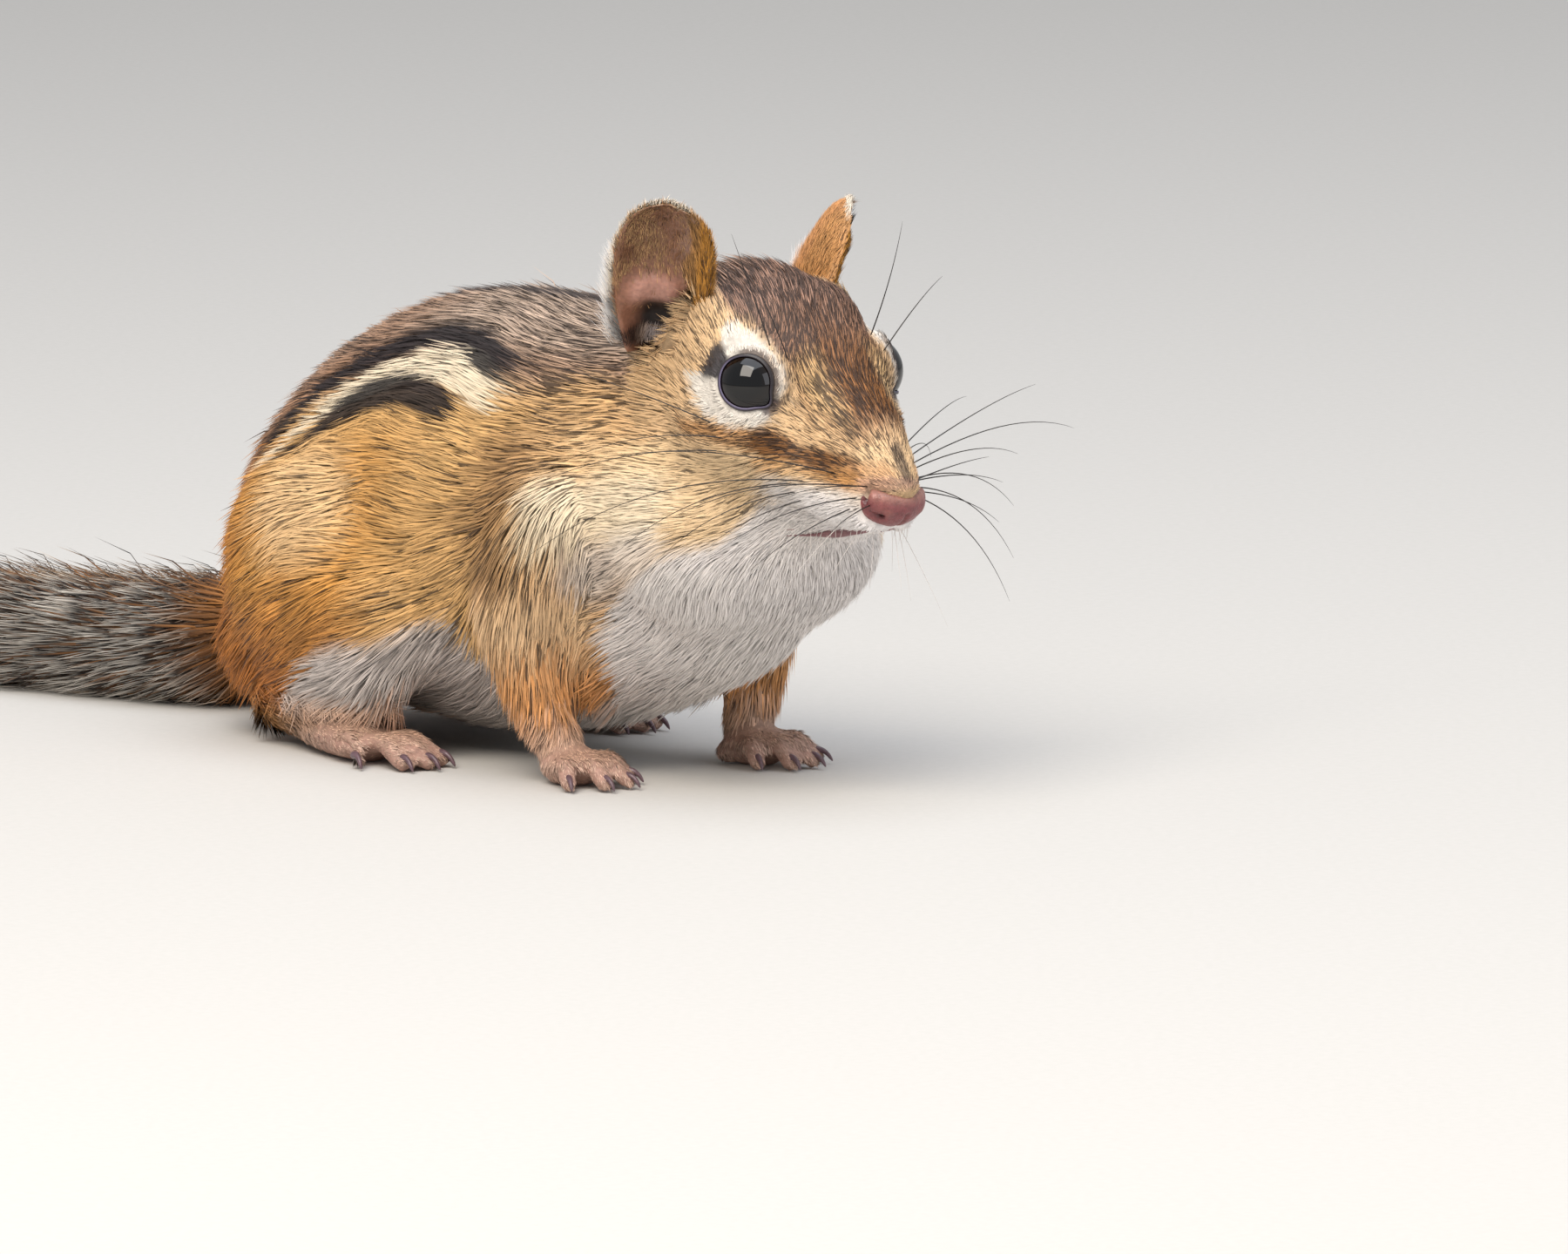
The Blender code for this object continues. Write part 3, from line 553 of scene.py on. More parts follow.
# Streaks of the face and the flank: their lines, half widths, soft edges, colours and strengths, and how
# much they calm the dark hairs, or add to them where it is below 0
STREAKS = [
    ([(20.4, 26, 31.4), (18.8, 21, 32.5), (16.9, 14, 33.0)], 4.2, 3.5, "#f6e2c2", 0.95, 1.0),
    ([(17.9, 11.2, 28.4), (16.6, 18, 27.0), (15.5, 23, 24)], 2.6, 2.5, "#d9cfc6", 0.75, 1.0),
    ([(18.2, 36, 37), (18.9, 39, 30), (21, 35, 24)], 3.5, 4.0, "#8f6c48", 0.75, 0.0),
    (BROW_LINE, 0.8, 0.9, "#a9733c", 0.75, -0.9),
    ([(12.6, 11.9, 45.4), (12.2, 12.8, 42.6)], 0.7, 0.6, "#453630", 0.85, 1.0),
    ([(0, -13.4, 42.0), (0, -14.6, 40.4), (0, -15.4, 38.8)], 0.8, 0.7, "#4d423d", 0.75, -1.0),
    (MUZZLE_LINE, 1.5, 1.0, "#85562a", 0.9, -0.7),
    # Painted light: a pale streak under the ear that lightens the hair where the ear's shadow falls
    ([(13.9, 14.5, 48.5), (15.4, 19, 44), (16.0, 24, 40)], 2.6, 3.0, "#ecc391", 0.65, 0.8),
    ([(2.6, -13.8, 39.0), (4.4, -11.0, 38.6)], 1.3, 1.2, "#cf9f73", 0.8, 1.0),
    ([(0, -16.0, 38.2), (2.6, -14.4, 38.0), (3.9, -12.4, 37.6)], 0.7, 0.6, "#b18a78", 0.7, -0.3),
    ([(5.6, -10.6, 38.6), (8.0, -6.6, 38.9), (10.5, -2.6, 39.6)], 0.9, 0.9, "#c98f4c", 0.7, -0.3),
]


def above_axis(points):
    """How far points lie above the line inside the body."""
    _, along, height = zip(*BACK_AXIS)
    return points[:, 2] - np.interp(points[:, 1], along, height)


def unrolled(points):
    """Places on the back unrolled flat: millimetres round it from the flank up, and along it."""
    rise = np.arctan2(above_axis(points), points[:, 0])
    return np.column_stack((BACK_REACH * rise, points[:, 1], 0 * rise))


def markings(points):
    """The colour of the coat at each point, and the share of dark hairs in it."""
    q = mirrored(points)
    x, y, z = q.T
    wobble = wander(points, 4, 31)
    rise = np.degrees(np.arctan2(above_axis(q), x))
    colour = np.tile(linear("#d0a46a"), (len(q), 1))
    colour = blend(colour, 0.35 * step_up(wander(points, 6, 33), -0.4, 0.9), "#e0b67c")
    dark = np.full(len(q), 0.07)

    # The shoulder, the haunch, the rump and the grizzled back
    shoulder = step_up(y + 2 * wobble, 44, 30)
    colour = blend(colour, shoulder, "#cba373")
    dark += 0.17 * shoulder
    haunch = step_up(y, 50, 62)
    colour = paint(
        colour,
        (haunch * step_up(rise, 42, 20), "#d0964b"),
        (0.9 * haunch * step_up(near_spot(q, (22.6, 68, 30)), 12, 4), "#f2cb98"),
        (0.7 * haunch * step_up(z + wobble, 23, 14), "#a66d35"),
    )
    heel = haunch * step_up(z + wobble, 18, 8) * step_up(y, 64, 72)
    rump = np.maximum(step_up(y + 1.5 * wobble, 74, 88), heel)
    colour = blend(colour, rump, "#a0622a")
    back = step_up(rise + 3 * wobble, 44, 56) * step_up(y, 12, 24)
    colour = blend(colour, back, "#ab9685")
    dark += 0.2 * back
    edging = back * step_up(rise, 68, 54)
    colour = blend(colour, 0.5 * edging, "#93653f")
    colour = blend(colour, 0.6 * back * step_up(y, 50, 66), "#8f6547")

    # The neck, the face, the cheek and the dark crown
    from_head = near_spot(points, HEAD @ Vector((0, 2, -2)))
    neck = step_up(from_head, 30, 22)
    colour = blend(colour, 0.7 * neck * (1 - back), "#deb27e")
    dark -= 0.08 * neck * (1 - back)
    face = step_up(from_head, 24, 17)
    colour = blend(colour, face, "#f4cd9e")
    dark += 0.06 * face
    cheek = step_up(near_spot(points, HEAD @ Vector((0, 6, -8))), 26, 20)
    cheek = cheek * step_up(z + 0.8 * wobble, 42.5, 39.5)
    colour = blend(colour, 0.85 * cheek, "#fbdaac")
    dark -= 0.11 * cheek
    half = np.interp(y, *zip(*CROWN_EDGE))
    crown = step_up(x + 0.5 * wobble, half + 0.6, half - 0.6) * step_up(z, 38, 41)
    crown = crown * step_up(near_spot(points, (0, 6, 52)), 22, 16)
    side_of_nose = step_up(x, 2.5, 5.5) * step_up(y, -2, -6)
    colour = paint(
        colour,
        (crown, "#8f6f5e"),
        (0.6 * crown * step_up(y, 6, 16), "#a08878"),
        (crown * step_up(y, 4, -8), "#8a5c33"),
        (crown * side_of_nose, "#dcb684"),
    )
    dark += (0.42 - 0.12 * side_of_nose) * crown * (1 - 0.6 * back)

    # The white underside, the forelegs in front of it and the heels
    white = step_up(z - np.interp(y, *zip(*WHITE_EDGE)) + 1.3 * wobble, 1.8, -1.8)
    left_leg, right_leg = (near_path(points, FORE_LINES[name][:4])[0] for name in SIDES)
    foreleg = step_up(np.minimum(left_leg, right_leg), 8.6, 6.8)
    foreleg = foreleg * step_up(x, 7.5, 10) * step_up(z, 27, 19)
    hock = step_up(z, 5.5, 3.0) * step_up(y, 56, 62)
    white = white * (1 - foreleg) * (1 - hock)
    colour = paint(
        colour,
        (white, "#e2dbd6"),
        # Painted shade: the white of the belly is darkened to grey behind the forelegs and low down
        (0.8 * white * step_up(y, 30, 44) * step_up(z, 24, 16), "#a0958e"),
        # Whiter hair round the mouth: partly the fur's own white, partly painted light on hair shaded by the
        # muzzle
        (white * step_up(near_spot(points, NOSE), 15, 10), "#f1ebe8"),
    )
    dark *= 1 - 0.95 * white
    colour = blend(colour, foreleg, "#ca8e57")
    colour = blend(colour, 0.9 * foreleg * step_up(z, 9, 18), "#f2cda0")
    dark *= 1 - 0.6 * foreleg
    colour = blend(colour, hock, "#b98550")

    # The stripes, those of the flank moved a little further up than their lines
    flat = unrolled(q)
    for name, shade, moved, strength in (
        ("cream", "#f6e5c8", 0.7, 0.95),
        ("upper", "#1b1a20", 0.7, 0.95),
        ("lower", "#1b1a20", 0.7, 0.95),
        ("middle", "#201f26", 0.0, 0.85),
    ):
        line = unrolled(np.array(STRIPES[name], float)) + np.array((moved, 0, 0))
        away, along = near_path(flat, line)
        widths = STRIPE_WIDTHS[name]
        half = np.interp(along, [0, 0.25, 0.5, 1], [widths[0], *widths])
        ends = step_up(along, 0.0, 0.06) * step_up(along, 1.0, 0.9)
        stripe = step_up(away + 0.5 * wobble, half + 0.5, half - 0.5) * ends
        colour = blend(colour, stripe * strength, shade)
        dark *= 1 - 0.8 * stripe

    # The streaks
    for path, half, soft, shade, strength, calm in STREAKS:
        away, _ = near_path(q, path)
        streak = strength * step_up(away + 0.3 * wobble, half + soft, half - 0.5 * soft)
        streak = streak * (1 - 0.6 * white)
        colour = blend(colour, streak, shade)
        dark = dark * (1 - streak * max(calm, 0)) + 0.3 * streak * max(-calm, 0)

    # The white round the eye with its dark edge, and the dark patches behind and in front of it
    reach, off_gaze, turn = eye_polar(q, "left")
    ring = reach * np.sin(np.radians(off_gaze))
    degrees = np.degrees(turn) % 360
    near = (reach < 10) * (off_gaze < 100)
    edge = np.interp(degrees, *zip(*EYE_WHITE)) + 0.25 * wobble
    eye_white = near * step_up(ring + 0.3 * wander(points, 0.5, 35), edge + 0.9, edge - 0.6)
    colour = blend(colour, eye_white, "#e3dbd0")
    dark = dark * (1 - eye_white) + 0.05 * eye_white
    lines = near * step_up(np.abs(ring - edge - 0.5), 0.6, 0.1)
    lines = lines * (step_up(degrees, 95, 60) + step_up(degrees, 345, 352))
    colour = blend(colour, 0.5 * lines, "#4a362b")
    over = near * step_up(ring, 4.3, 3.8) * step_up(degrees, 150, 120)
    colour = blend(colour, 0.8 * over, "#5b4438")
    patch = near * step_up(np.abs(degrees - 178), 27, 17) * step_up(ring, 7.0, 6.0)
    colour = blend(colour, 0.95 * patch, "#27222a")
    corner = near * step_up(np.abs((degrees - 344 + 180) % 360 - 180), 22, 12) * step_up(ring, 5.2, 4.2)
    colour = blend(colour, 0.9 * corner, "#4b3b3e")

    # The feet, which are paler and pinker towards the toes
    foot = foot_share(points)
    colour = blend(colour, foot * step_up(z, 9, 5), "#c5a189")
    colour = blend(colour, foot * step_up(z, 4.0, 2.0), "#c2a290")
    dark *= 1 - 0.6 * foot
    return np.clip(colour, 0, 1), np.clip(dark, 0, 0.7)


# Tanned hide: matt, mottled, and dented by its follicles a sixth of a millimetre apart
skin_material, tree, hide, place, _ = stained_material(
    "skin", {"Roughness": 0.6}, {"Scale": 1500.0, "Detail": 5.0}, (0.72, 1.12)
)
pores = add_node(tree, "ShaderNodeTexVoronoi", {"Vector": place, "Scale": 6000.0})
relief = {"Height": pores.outputs["Distance"], "Strength": 0.4, "Distance": 0.0001}
tree.links.new(add_node(tree, "ShaderNodeBump", relief).outputs["Normal"], hide.inputs["Normal"])
# The hide is darker than its hair, most under the long coat and least under pale hair
hide_colour, _ = markings(hide_points)
depth = step_up(coat_depth(hide_points), 0.3, 1.2)[:, None]
pale_hide = step_up(hide_colour.min(axis=1), 0.3, 0.55)[:, None]
hide_colour = hide_colour * (0.66 - 0.2 * depth + 0.24 * pale_hide)
bare_foot = foot_share(hide_points) * step_up(hide_points[:, 2], 6, 2)
hide_colour = blend(hide_colour, 0.55 * bare_foot, "#b98a7b")
stain_points(skin_mesh, hide_colour)
skin_mesh.shade_smooth()
skin_surface = surface_of(skin_mesh)
add_piece("skin", skin_mesh, skin_material, [*FLESH, "tail"])

# The eyes: glass balls set in the sockets, black-brown with a wide pupil, under a clear wet-looking coat.
# They replace the plain balls of the solid model at the same size and place.

# Metres from the pupil's middle at which the iris's ramp of colours ends
RAMP_REACH = 0.005


def glass_eye(name):
    """Painted glass: near-black and matt below, with a clear coat that mirrors the lights sharply."""
    material, tree, glass, place = new_material(
        f"eye_glass_{name}",
        {
            "Roughness": 0.3,
            "Specular IOR Level": 0.0,
            "Coat IOR": 1.52,
            "Coat Weight": 1.0,
            "Coat Roughness": 0.015,
        },
    )
    pupil = animal_frame @ (EYES[name] + EYEBALL_RADIUS * GAZE[name])
    away = add_node(tree, "ShaderNodeVectorMath", {0: place, 1: pupil}, operation="DISTANCE")
    scaled = {0: away.outputs["Value"], 1: RAMP_REACH}
    reach = add_node(tree, "ShaderNodeMath", scaled, operation="DIVIDE")
    ring = add_node(tree, "ShaderNodeValToRGB", {0: reach.outputs[0]})
    stops = ring.color_ramp.elements
    stops[0].position, stops[0].color = 0.40, (*linear("#030304"), 1)
    stops[1].position, stops[1].color = 0.60, (*linear("#120b08"), 1)
    rim = stops.new(0.74)
    rim.color = (*linear("#050405"), 1)
    tree.links.new(ring.outputs["Color"], glass.inputs["Base Color"])
    return material


for name, eye in EYES.items():
    globe = bmesh.new()
    place = Matrix.Translation(eye) @ GAZE[name].to_track_quat("Z", "Y").to_matrix().to_4x4()
    bmesh.ops.create_uvsphere(globe, u_segments=64, v_segments=40, radius=EYEBALL_RADIUS, matrix=place)
    globe_mesh = finished_mesh(globe, "globe")
    globe_mesh.shade_smooth()
    add_piece(f"eyeball_{name}", globe_mesh, glass_eye(name), [f"eye_{name}"])

# The lids: a thin hairless rim of dark purplish skin that lies on the eyeball, drawn out to a corner at
# the front below. Its outer edge is sunk under the hair of the face.

# Distance from the eye's centre, degrees past the opening's edge, and the colours above and below, from
# the wet margin out
LID_PROFILE = [
    (3.85, 5.0, "#0d0a0c", "#0d0a0c"),
    (4.12, 1.2, "#0d0a0c", "#0d0a0c"),
    (4.17, -0.2, "#171214", "#35303f"),
    (4.23, -0.6, "#211a1d", "#6d6580"),
    (4.30, 0.3, "#1b1517", "#665f7a"),
    (4.36, 1.6, "#181214", "#3f3947"),
    (4.40, 2.8, "#231a18", "#302930"),
    (4.38, 4.4, "#33271f", "#4a4043"),
    (4.22, 7.0, "#3c2e26", "#5a4e4e"),
    (4.00, 11.0, "#4b3c33", "#5a4e4e"),
    (3.80, 18.0, "#4b3c33", "#5a4e4e"),
]

# Moist bare skin: a soft sheen, broken up by wrinkles a tenth of a millimetre apart
lid_material, tree, lid_skin, place = new_material("eyelid_skin", {"Roughness": 0.38})
stain = add_node(tree, "ShaderNodeAttribute", attribute_name="coat")
wrinkles = add_node(tree, "ShaderNodeTexNoise", {"Vector": place, "Scale": 9000.0, "Detail": 2.0})
relief = {"Height": wrinkles.outputs["Fac"], "Strength": 0.3, "Distance": 0.00005}
tree.links.new(stain.outputs["Color"], lid_skin.inputs["Base Color"])
tree.links.new(add_node(tree, "ShaderNodeBump", relief).outputs["Normal"], lid_skin.inputs["Normal"])
for name, eye in EYES.items():
    forward, up = eye_axes(name)
    ring = bmesh.new()
    layer = ring.verts.layers.float_color.new("coat")
    edge = bmesh.ops.create_circle(ring, segments=96, radius=1)["verts"]
    for step, (reach, past, top_shade, low_shade) in enumerate(LID_PROFILE):
        if step:
            rim_edges = list({e for v in edge for e in v.link_edges if e.other_vert(v) in edge})
            grown = bmesh.ops.extrude_edge_only(ring, edges=rim_edges)["geom"]
            grown = [item for item in grown if isinstance(item, bmesh.types.BMVert)]
            inner = {v: next(e.other_vert(v) for e in v.link_edges if e.other_vert(v) in edge) for v in grown}
            turns = {v: turns[inner[v]] for v in grown}
            edge = grown
        else:
            turns = {v: 2 * math.pi * k / 96 for k, v in enumerate(edge)}
        for vert in edge:
            turn = turns[vert]
            heavy = 1 + 0.35 * math.exp(-(((turn - math.radians(75)) / 0.9) ** 2)) * (past > 0)
            angle = math.radians(float(opening(turn)) + past * heavy)
            outward = math.cos(turn) * forward + math.sin(turn) * up
            vert.co = eye + reach * (math.cos(angle) * GAZE[name] + math.sin(angle) * outward)
            high = 1 / (1 + math.exp(-4 * (math.sin(turn + 0.45) - 0.1)))
            mixed = Vector(linear(top_shade)) * high + Vector(linear(low_shade)) * (1 - high)
            vert[layer] = (*mixed, 1)
    bmesh.ops.recalc_face_normals(ring, faces=ring.faces)
    if sum((f.calc_center_median() - eye).dot(f.normal) for f in ring.faces) < 0:
        bmesh.ops.reverse_faces(ring, faces=ring.faces)
    lid_mesh = finished_mesh(ring, "lid")
    lid_mesh.shade_smooth()
    add_piece(f"eyelids_{name}", lid_mesh, lid_material)

# The nose pad: bare pink leather, cobbled and a little moist, with a comma-shaped nostril on each side
# and a groove below them that runs down to the lip.

NOSTRIL = [(4.0, -15.5, -6.6), (4.1, -15.8, -7.6), (3.7, -16.6, -8.6), (2.9, -17.8, -9.0)]
GROOVE = [(0, -19.0, -8.6), (0, -18.6, -9.6), (0, -17.2, -10.8)]
NOSTRIL_WING = [(3.6, -16.7, -6.9), (3.2, -17.3, -7.8), (2.4, -18.3, -8.2)]
pad = bmesh.new()
bmesh.ops.create_icosphere(pad, subdivisions=6, radius=1)
pad_mesh = finished_mesh(pad, "pad")
ball = read_points(pad_mesh)
pad_shape = np.array(PAD_PLACE) + ball * np.array(PAD_SIZE)
folded = mirrored(pad_shape)
# The nostrils and the groove are pressed in, the wings stand out and the top slopes down to the hair
hollow, _ = near_path(folded, NOSTRIL)
groove, _ = near_path(folded, GROOVE)
wing, _ = near_path(folded, NOSTRIL_WING)
pad_shape -= ball * (0.85 * np.exp(-((hollow / 0.36) ** 2)) + 0.3 * np.exp(-((groove / 0.25) ** 2)))[:, None]
pad_shape += ball * (0.22 * np.exp(-((wing / 0.6) ** 2)))[:, None]
pad_shape -= ball * (0.45 * step_up(ball[:, 2], 0.42, 0.8))[:, None]
pad_colour = np.tile(linear("#7e4244"), (len(ball), 1))
pad_colour = paint(
    pad_colour,
    (0.8 * step_up(ball[:, 2], 0.1, 0.55), "#a3786a"),
    # Painted highlight: a lighter pink on the nostril wings
    (0.6 * np.exp(-((wing / 0.5) ** 2)), "#9c635a"),
    (0.5 * step_up(ball[:, 2], -0.3, -0.9), "#8c5350"),
    # Painted shade: the nostrils near-black and the groove darker, for the shade in these hollows
    (np.exp(-((hollow / 0.34) ** 2)), "#1c0a0a"),
    (0.55 * np.exp(-((groove / 0.2) ** 2)), "#5c3230"),
)
write_points(pad_mesh, pad_shape)
pad_mesh.transform(HEAD)
pad_mesh.shade_smooth()
stain_points(pad_mesh, pad_colour)
# Bare moist leather: a sheen broken up by cobbles of a quarter of a millimetre, and a little light let in
pad_material, tree, leather, place, _ = stained_material(
    "nose_leather",
    {"Roughness": 0.34, "Subsurface Weight": 0.15, "Subsurface Radius": (0.0006, 0.0003, 0.0002)},
    {"Scale": 1400.0, "Detail": 4.0},
    (0.75, 1.2),
)
cobbles = add_node(tree, "ShaderNodeTexVoronoi", {"Vector": place, "Scale": 3800.0}, feature="F1")
relief = {"Height": cobbles.outputs["Distance"], "Strength": 0.5, "Distance": 0.0001}
dent = add_node(tree, "ShaderNodeBump", relief, invert=True)
tree.links.new(dent.outputs["Normal"], leather.inputs["Normal"])
add_piece("nose_pad", pad_mesh, pad_material)

# The lips: two narrow rolls of bare pinkish skin that meet in a dark line under the muzzle.

LIP_LINE = [
    (7.7, 0.1, 31.4), (6.3, -3.0, 31.3), (5.2, -6.0, 31.4), (4.4, -9.0, 31.8), (3.5, -11.4, 32.3),
    (2.1, -12.9, 32.5), (0, -13.6, 32.6),
]
hide_tree = BVHTree.FromPolygons([Vector(p) for p in skin_surface[0]], [tuple(t) for t in skin_surface[2]])


def tube_mesh(name, lines, radii, sides):
    """One mesh of round tubes along lines of points, each closed by its first and last ring."""
    lines = np.asarray(lines, float)
    radii = np.asarray(radii, float)
    count, stops = lines.shape[:2]
    ahead = unit(np.gradient(lines, axis=1))
    aside = unit(np.cross(ahead, np.array((0.31, 0.17, 0.93))))
    upward = np.cross(aside, ahead)
    turns = 2 * math.pi * np.arange(sides) / sides
    ring = np.cos(turns)[:, None] * aside[:, :, None, :] + np.sin(turns)[:, None] * upward[:, :, None, :]
    spots = lines[:, :, None, :] + radii[..., None, None] * ring
    verts = spots.reshape(-1, 3)
    faces = []
    for n in range(count):
        for k in range(stops - 1):
            first = (n * stops + k) * sides
            for i in range(sides):
                j = (i + 1) % sides
                faces.append((first + i, first + j, first + sides + j, first + sides + i))
        start, end = n * stops * sides, ((n + 1) * stops - 1) * sides
        faces.append(tuple(start + i for i in reversed(range(sides))))
        faces.append(tuple(end + i for i in range(sides)))
    mesh = bpy.data.meshes.new(name)
    mesh.from_pydata(verts.tolist(), [], faces)
    mesh.shade_smooth()
    return mesh


def rounded(stops, count):
    """Points of a Catmull-Rom curve through the stops."""
    rows = np.array([stops[0], *stops, stops[-1]], float)
    made = []
    for step in range(count):
        spot = (len(stops) - 1) * step / (count - 1)
        i = min(int(spot), len(stops) - 2)
        t = spot - i
        p, q, r, s = rows[i : i + 4]
        bend = (r - p) * t + (2 * p - 5 * q + 4 * r - s) * t**2 + (3 * q - p - 3 * r + s) * t**3
        made.append(q + 0.5 * bend)
    return made


lip_stops = LIP_LINE + [(-x, y, z) for x, y, z in reversed(LIP_LINE[:-1])]


def lip_place(spot):
    """The lowest place at or above a spot where the side of the muzzle still faces outwards."""
    out = Vector((1.6 * spot[0], spot[1] - 2, 0)).normalized()
    for k in range(16):
        start = Vector(spot) + 8 * out + Vector((0, 0, 0.15 * k))
        place, normal, *_ = hide_tree.ray_cast(start, -out, 14)
        if place and normal.z > -0.8:
            return place, normal
    return hide_tree.find_nearest(Vector(spot))[:2]


# Places along the lips, from corner to corner
LIP_COUNT = 49
lip_path = [lip_place(spot) for spot in rounded(lip_stops, LIP_COUNT)]
# The line is evened out, and its rolls are fullest halfway round and thin at the nose and the corners
for _ in range(4):
    middles = [(a[0] + c[0]) / 2 for a, c in zip(lip_path, lip_path[2:])]
    lip_path[1:-1] = [(0.5 * b[0] + 0.5 * m, b[1]) for b, m in zip(lip_path[1:-1], middles)]
lip_share = np.abs(np.linspace(-1, 1, LIP_COUNT))
lip_full = 0.1 + np.exp(-(((lip_share - 0.5) / 0.2) ** 2)) - 0.1 * step_up(lip_share, 0.8, 1.0)
lip_sunk = (0.1 + 0.35 * step_up(lip_share, 0.34, 0.22)).tolist()
for name, lift_mm, radius, tones in (
    ("upper", 0.30, 0.12, ("#7d5a58", "#a88682")),
    ("lower", -0.40, 0.42, ("#6a4347", "#94696c")),
):
    line = [
        spot - sunk * normal + Vector((0, 0, lift_mm)) for (spot, normal), sunk in zip(lip_path, lip_sunk)
    ]
    lip_mesh = tube_mesh("lip", [line], [0.05 + radius * lip_full], 12)
    # Bare lip skin: a soft sheen, in pinks that change over half a millimetre
    lip_noise = {"Scale": 1800.0, "Detail": 3.0}
    lip_material = two_tone_material(f"{name}_lip_skin", tones, {"Roughness": 0.45}, lip_noise)
    add_piece(f"{name}_lip", lip_mesh, lip_material)

# The claws: small curved horns, purplish-brown and paler at the tip, one to each toe.

# Horn: glossy, with fibres a fifth of a millimetre wide drawn out along the claw in two browns
claw_material = two_tone_material(
    "claw_horn",
    ("#3c2a2e", "#7b6068"),
    {"Roughness": 0.3},
    {"Scale": 1.0, "Detail": 3.0},
    stretch=(5000.0, 600.0, 5000.0),
)
for kind, number in (("foreclaw", 4), ("hindclaw", 5)):
    for name in SIDES:
        for toe in range(1, number + 1):
            node = f"{kind}_{name}_{toe}"
            horn = joined_copy(node)
            bmesh.ops.subdivide_edges(horn, edges=horn.edges, cuts=2, use_grid_fill=True, smooth=0.6)
            claw_mesh = finished_mesh(horn, "claw")
            settle(claw_mesh, np.ones(len(claw_mesh.vertices)), 2)
            claw_mesh.shade_smooth()
            add_piece(f"claw_{kind[:4]}_{name}_{toe}", claw_mesh, claw_material, [node])

# The coat: short fine hair in thousands of small tufts, each rooted in the skin and laid the way the hair
# grows, from the nose backwards, down the legs and out along the toes. Its colours are those of the
# markings: black and cream stripes on the back, rusty haunches, white underside and a striped face.

# One run of chance for all the hair
dice = np.random.default_rng(11)


def hair_length(points):
    """Short on the muzzle, round the eyes and on the feet, and longest on the body."""
    muzzle = near_spot(points, NOSE)
    length = np.interp(muzzle, [2.5, 6, 12, 20, 32, 48], [0.8, 1.4, 2.1, 2.8, 4.0, 5.4])
    length = length * np.interp(points[:, 2], [1, 8], [0.4, 1.0])
    for eye in EYES.values():
        length = np.minimum(length, np.interp(near_spot(points, eye), [4.6, 7, 12, 18], [1.0, 2.1, 3.1, 6.0]))
    foot = foot_share(points)
    return length * (1 - foot) + np.interp(points[:, 2], [1, 4, 9, 16], [0.8, 1.3, 2.2, 3.6]) * foot


def hair_width(points):
    """Width of a tuft, which stands for a few hairs because single ones are too fine to show."""
    return np.interp(hair_length(points), [0.5, 1.5, 3, 5.4], [0.12, 0.16, 0.20, 0.25])


def hair_flow(points, normals):
    """The way the coat lies at each point, along the skin."""
    # Backwards, and downwards on the flanks and the rump, or down the throat
    q = mirrored(points)
    low = step_up(q[:, 2], 40, 16)
    rear = step_up(q[:, 1], 60, 84)
    flow = np.column_stack((np.zeros(len(q)), np.full(len(q), 1.0), -0.1 - 0.35 * low - 0.55 * rear))
    throat = step_up(q[:, 1], 22, 8) * step_up(q[:, 2], 34, 24)
    flow = flow * (1 - throat[:, None]) + np.array((0, 0.5, -0.9)) * throat[:, None]
    # On the head away from the nose and round the eyes, and down the legs and out along the feet
    head = step_up(near_spot(points, HEAD @ Vector((0, 0, -2))), 27, 15)[:, None]
    flow = flow * (1 - head) + head * unit(points - np.array(NOSE + Vector((0, -3, 1))))
    for eye in EYES.values():
        away = 1.5 * np.exp(-np.maximum(near_spot(points, eye) - 4.6, 0) / 1.8)
        flow = unit(flow) + away[:, None] * unit(points - np.array(eye))
    for name in SIDES:
        reach, along = near_path(points, FORE_LINES[name])
        leg = step_up(reach, 10, 6)[:, None]
        backwards = np.interp(along, [0.2, 0.5, 0.75], [0.35, 0.1, -1.2])
        down = np.column_stack((0 * along, backwards, np.full(len(q), -0.9)))
        flow = flow * (1 - leg) + leg * down
        reach, along = near_path(points, HIND_LINES[name])
        leg = step_up(reach, 7, 4)[:, None]
        flow = flow * (1 - leg) + leg * np.array((0, -1.0, -0.2))
    # It wavers over some millimetres, and never leaves the skin
    sway = 0.3 * wander(points, 9, 21) + 0.16 * wander(points, 3, 22)
    flow = unit(flow)
    flow = flow + sway[:, None] * np.cross(normals, flow)
    return unit(flow - normals * (flow * normals).sum(1)[:, None])


def scatter(surface, thickly):
    """Roots spread over a surface, so many to the square millimetre, with the surface's direction there."""
    points, normals, triangles = surface
    a, b, c = (points[triangles[:, k]] for k in range(3))
    area = 0.5 * np.linalg.norm(np.cross(b - a, c - a), axis=1)
    count = np.floor(area * thickly((a + b + c) / 3) + dice.random(len(area))).astype(int)
    pick = np.repeat(np.arange(len(triangles)), count)
    u, v = dice.random((2, len(pick), 1))
    u, v = np.where(u + v > 1, 1 - u, u), np.where(u + v > 1, 1 - v, v)
    na, nb, nc = (normals[triangles[pick, k]] for k in range(3))
    roots = a[pick] + u * (b - a)[pick] + v * (c - a)[pick]
    return roots, unit(na * (1 - u - v) + nb * u + nc * v)


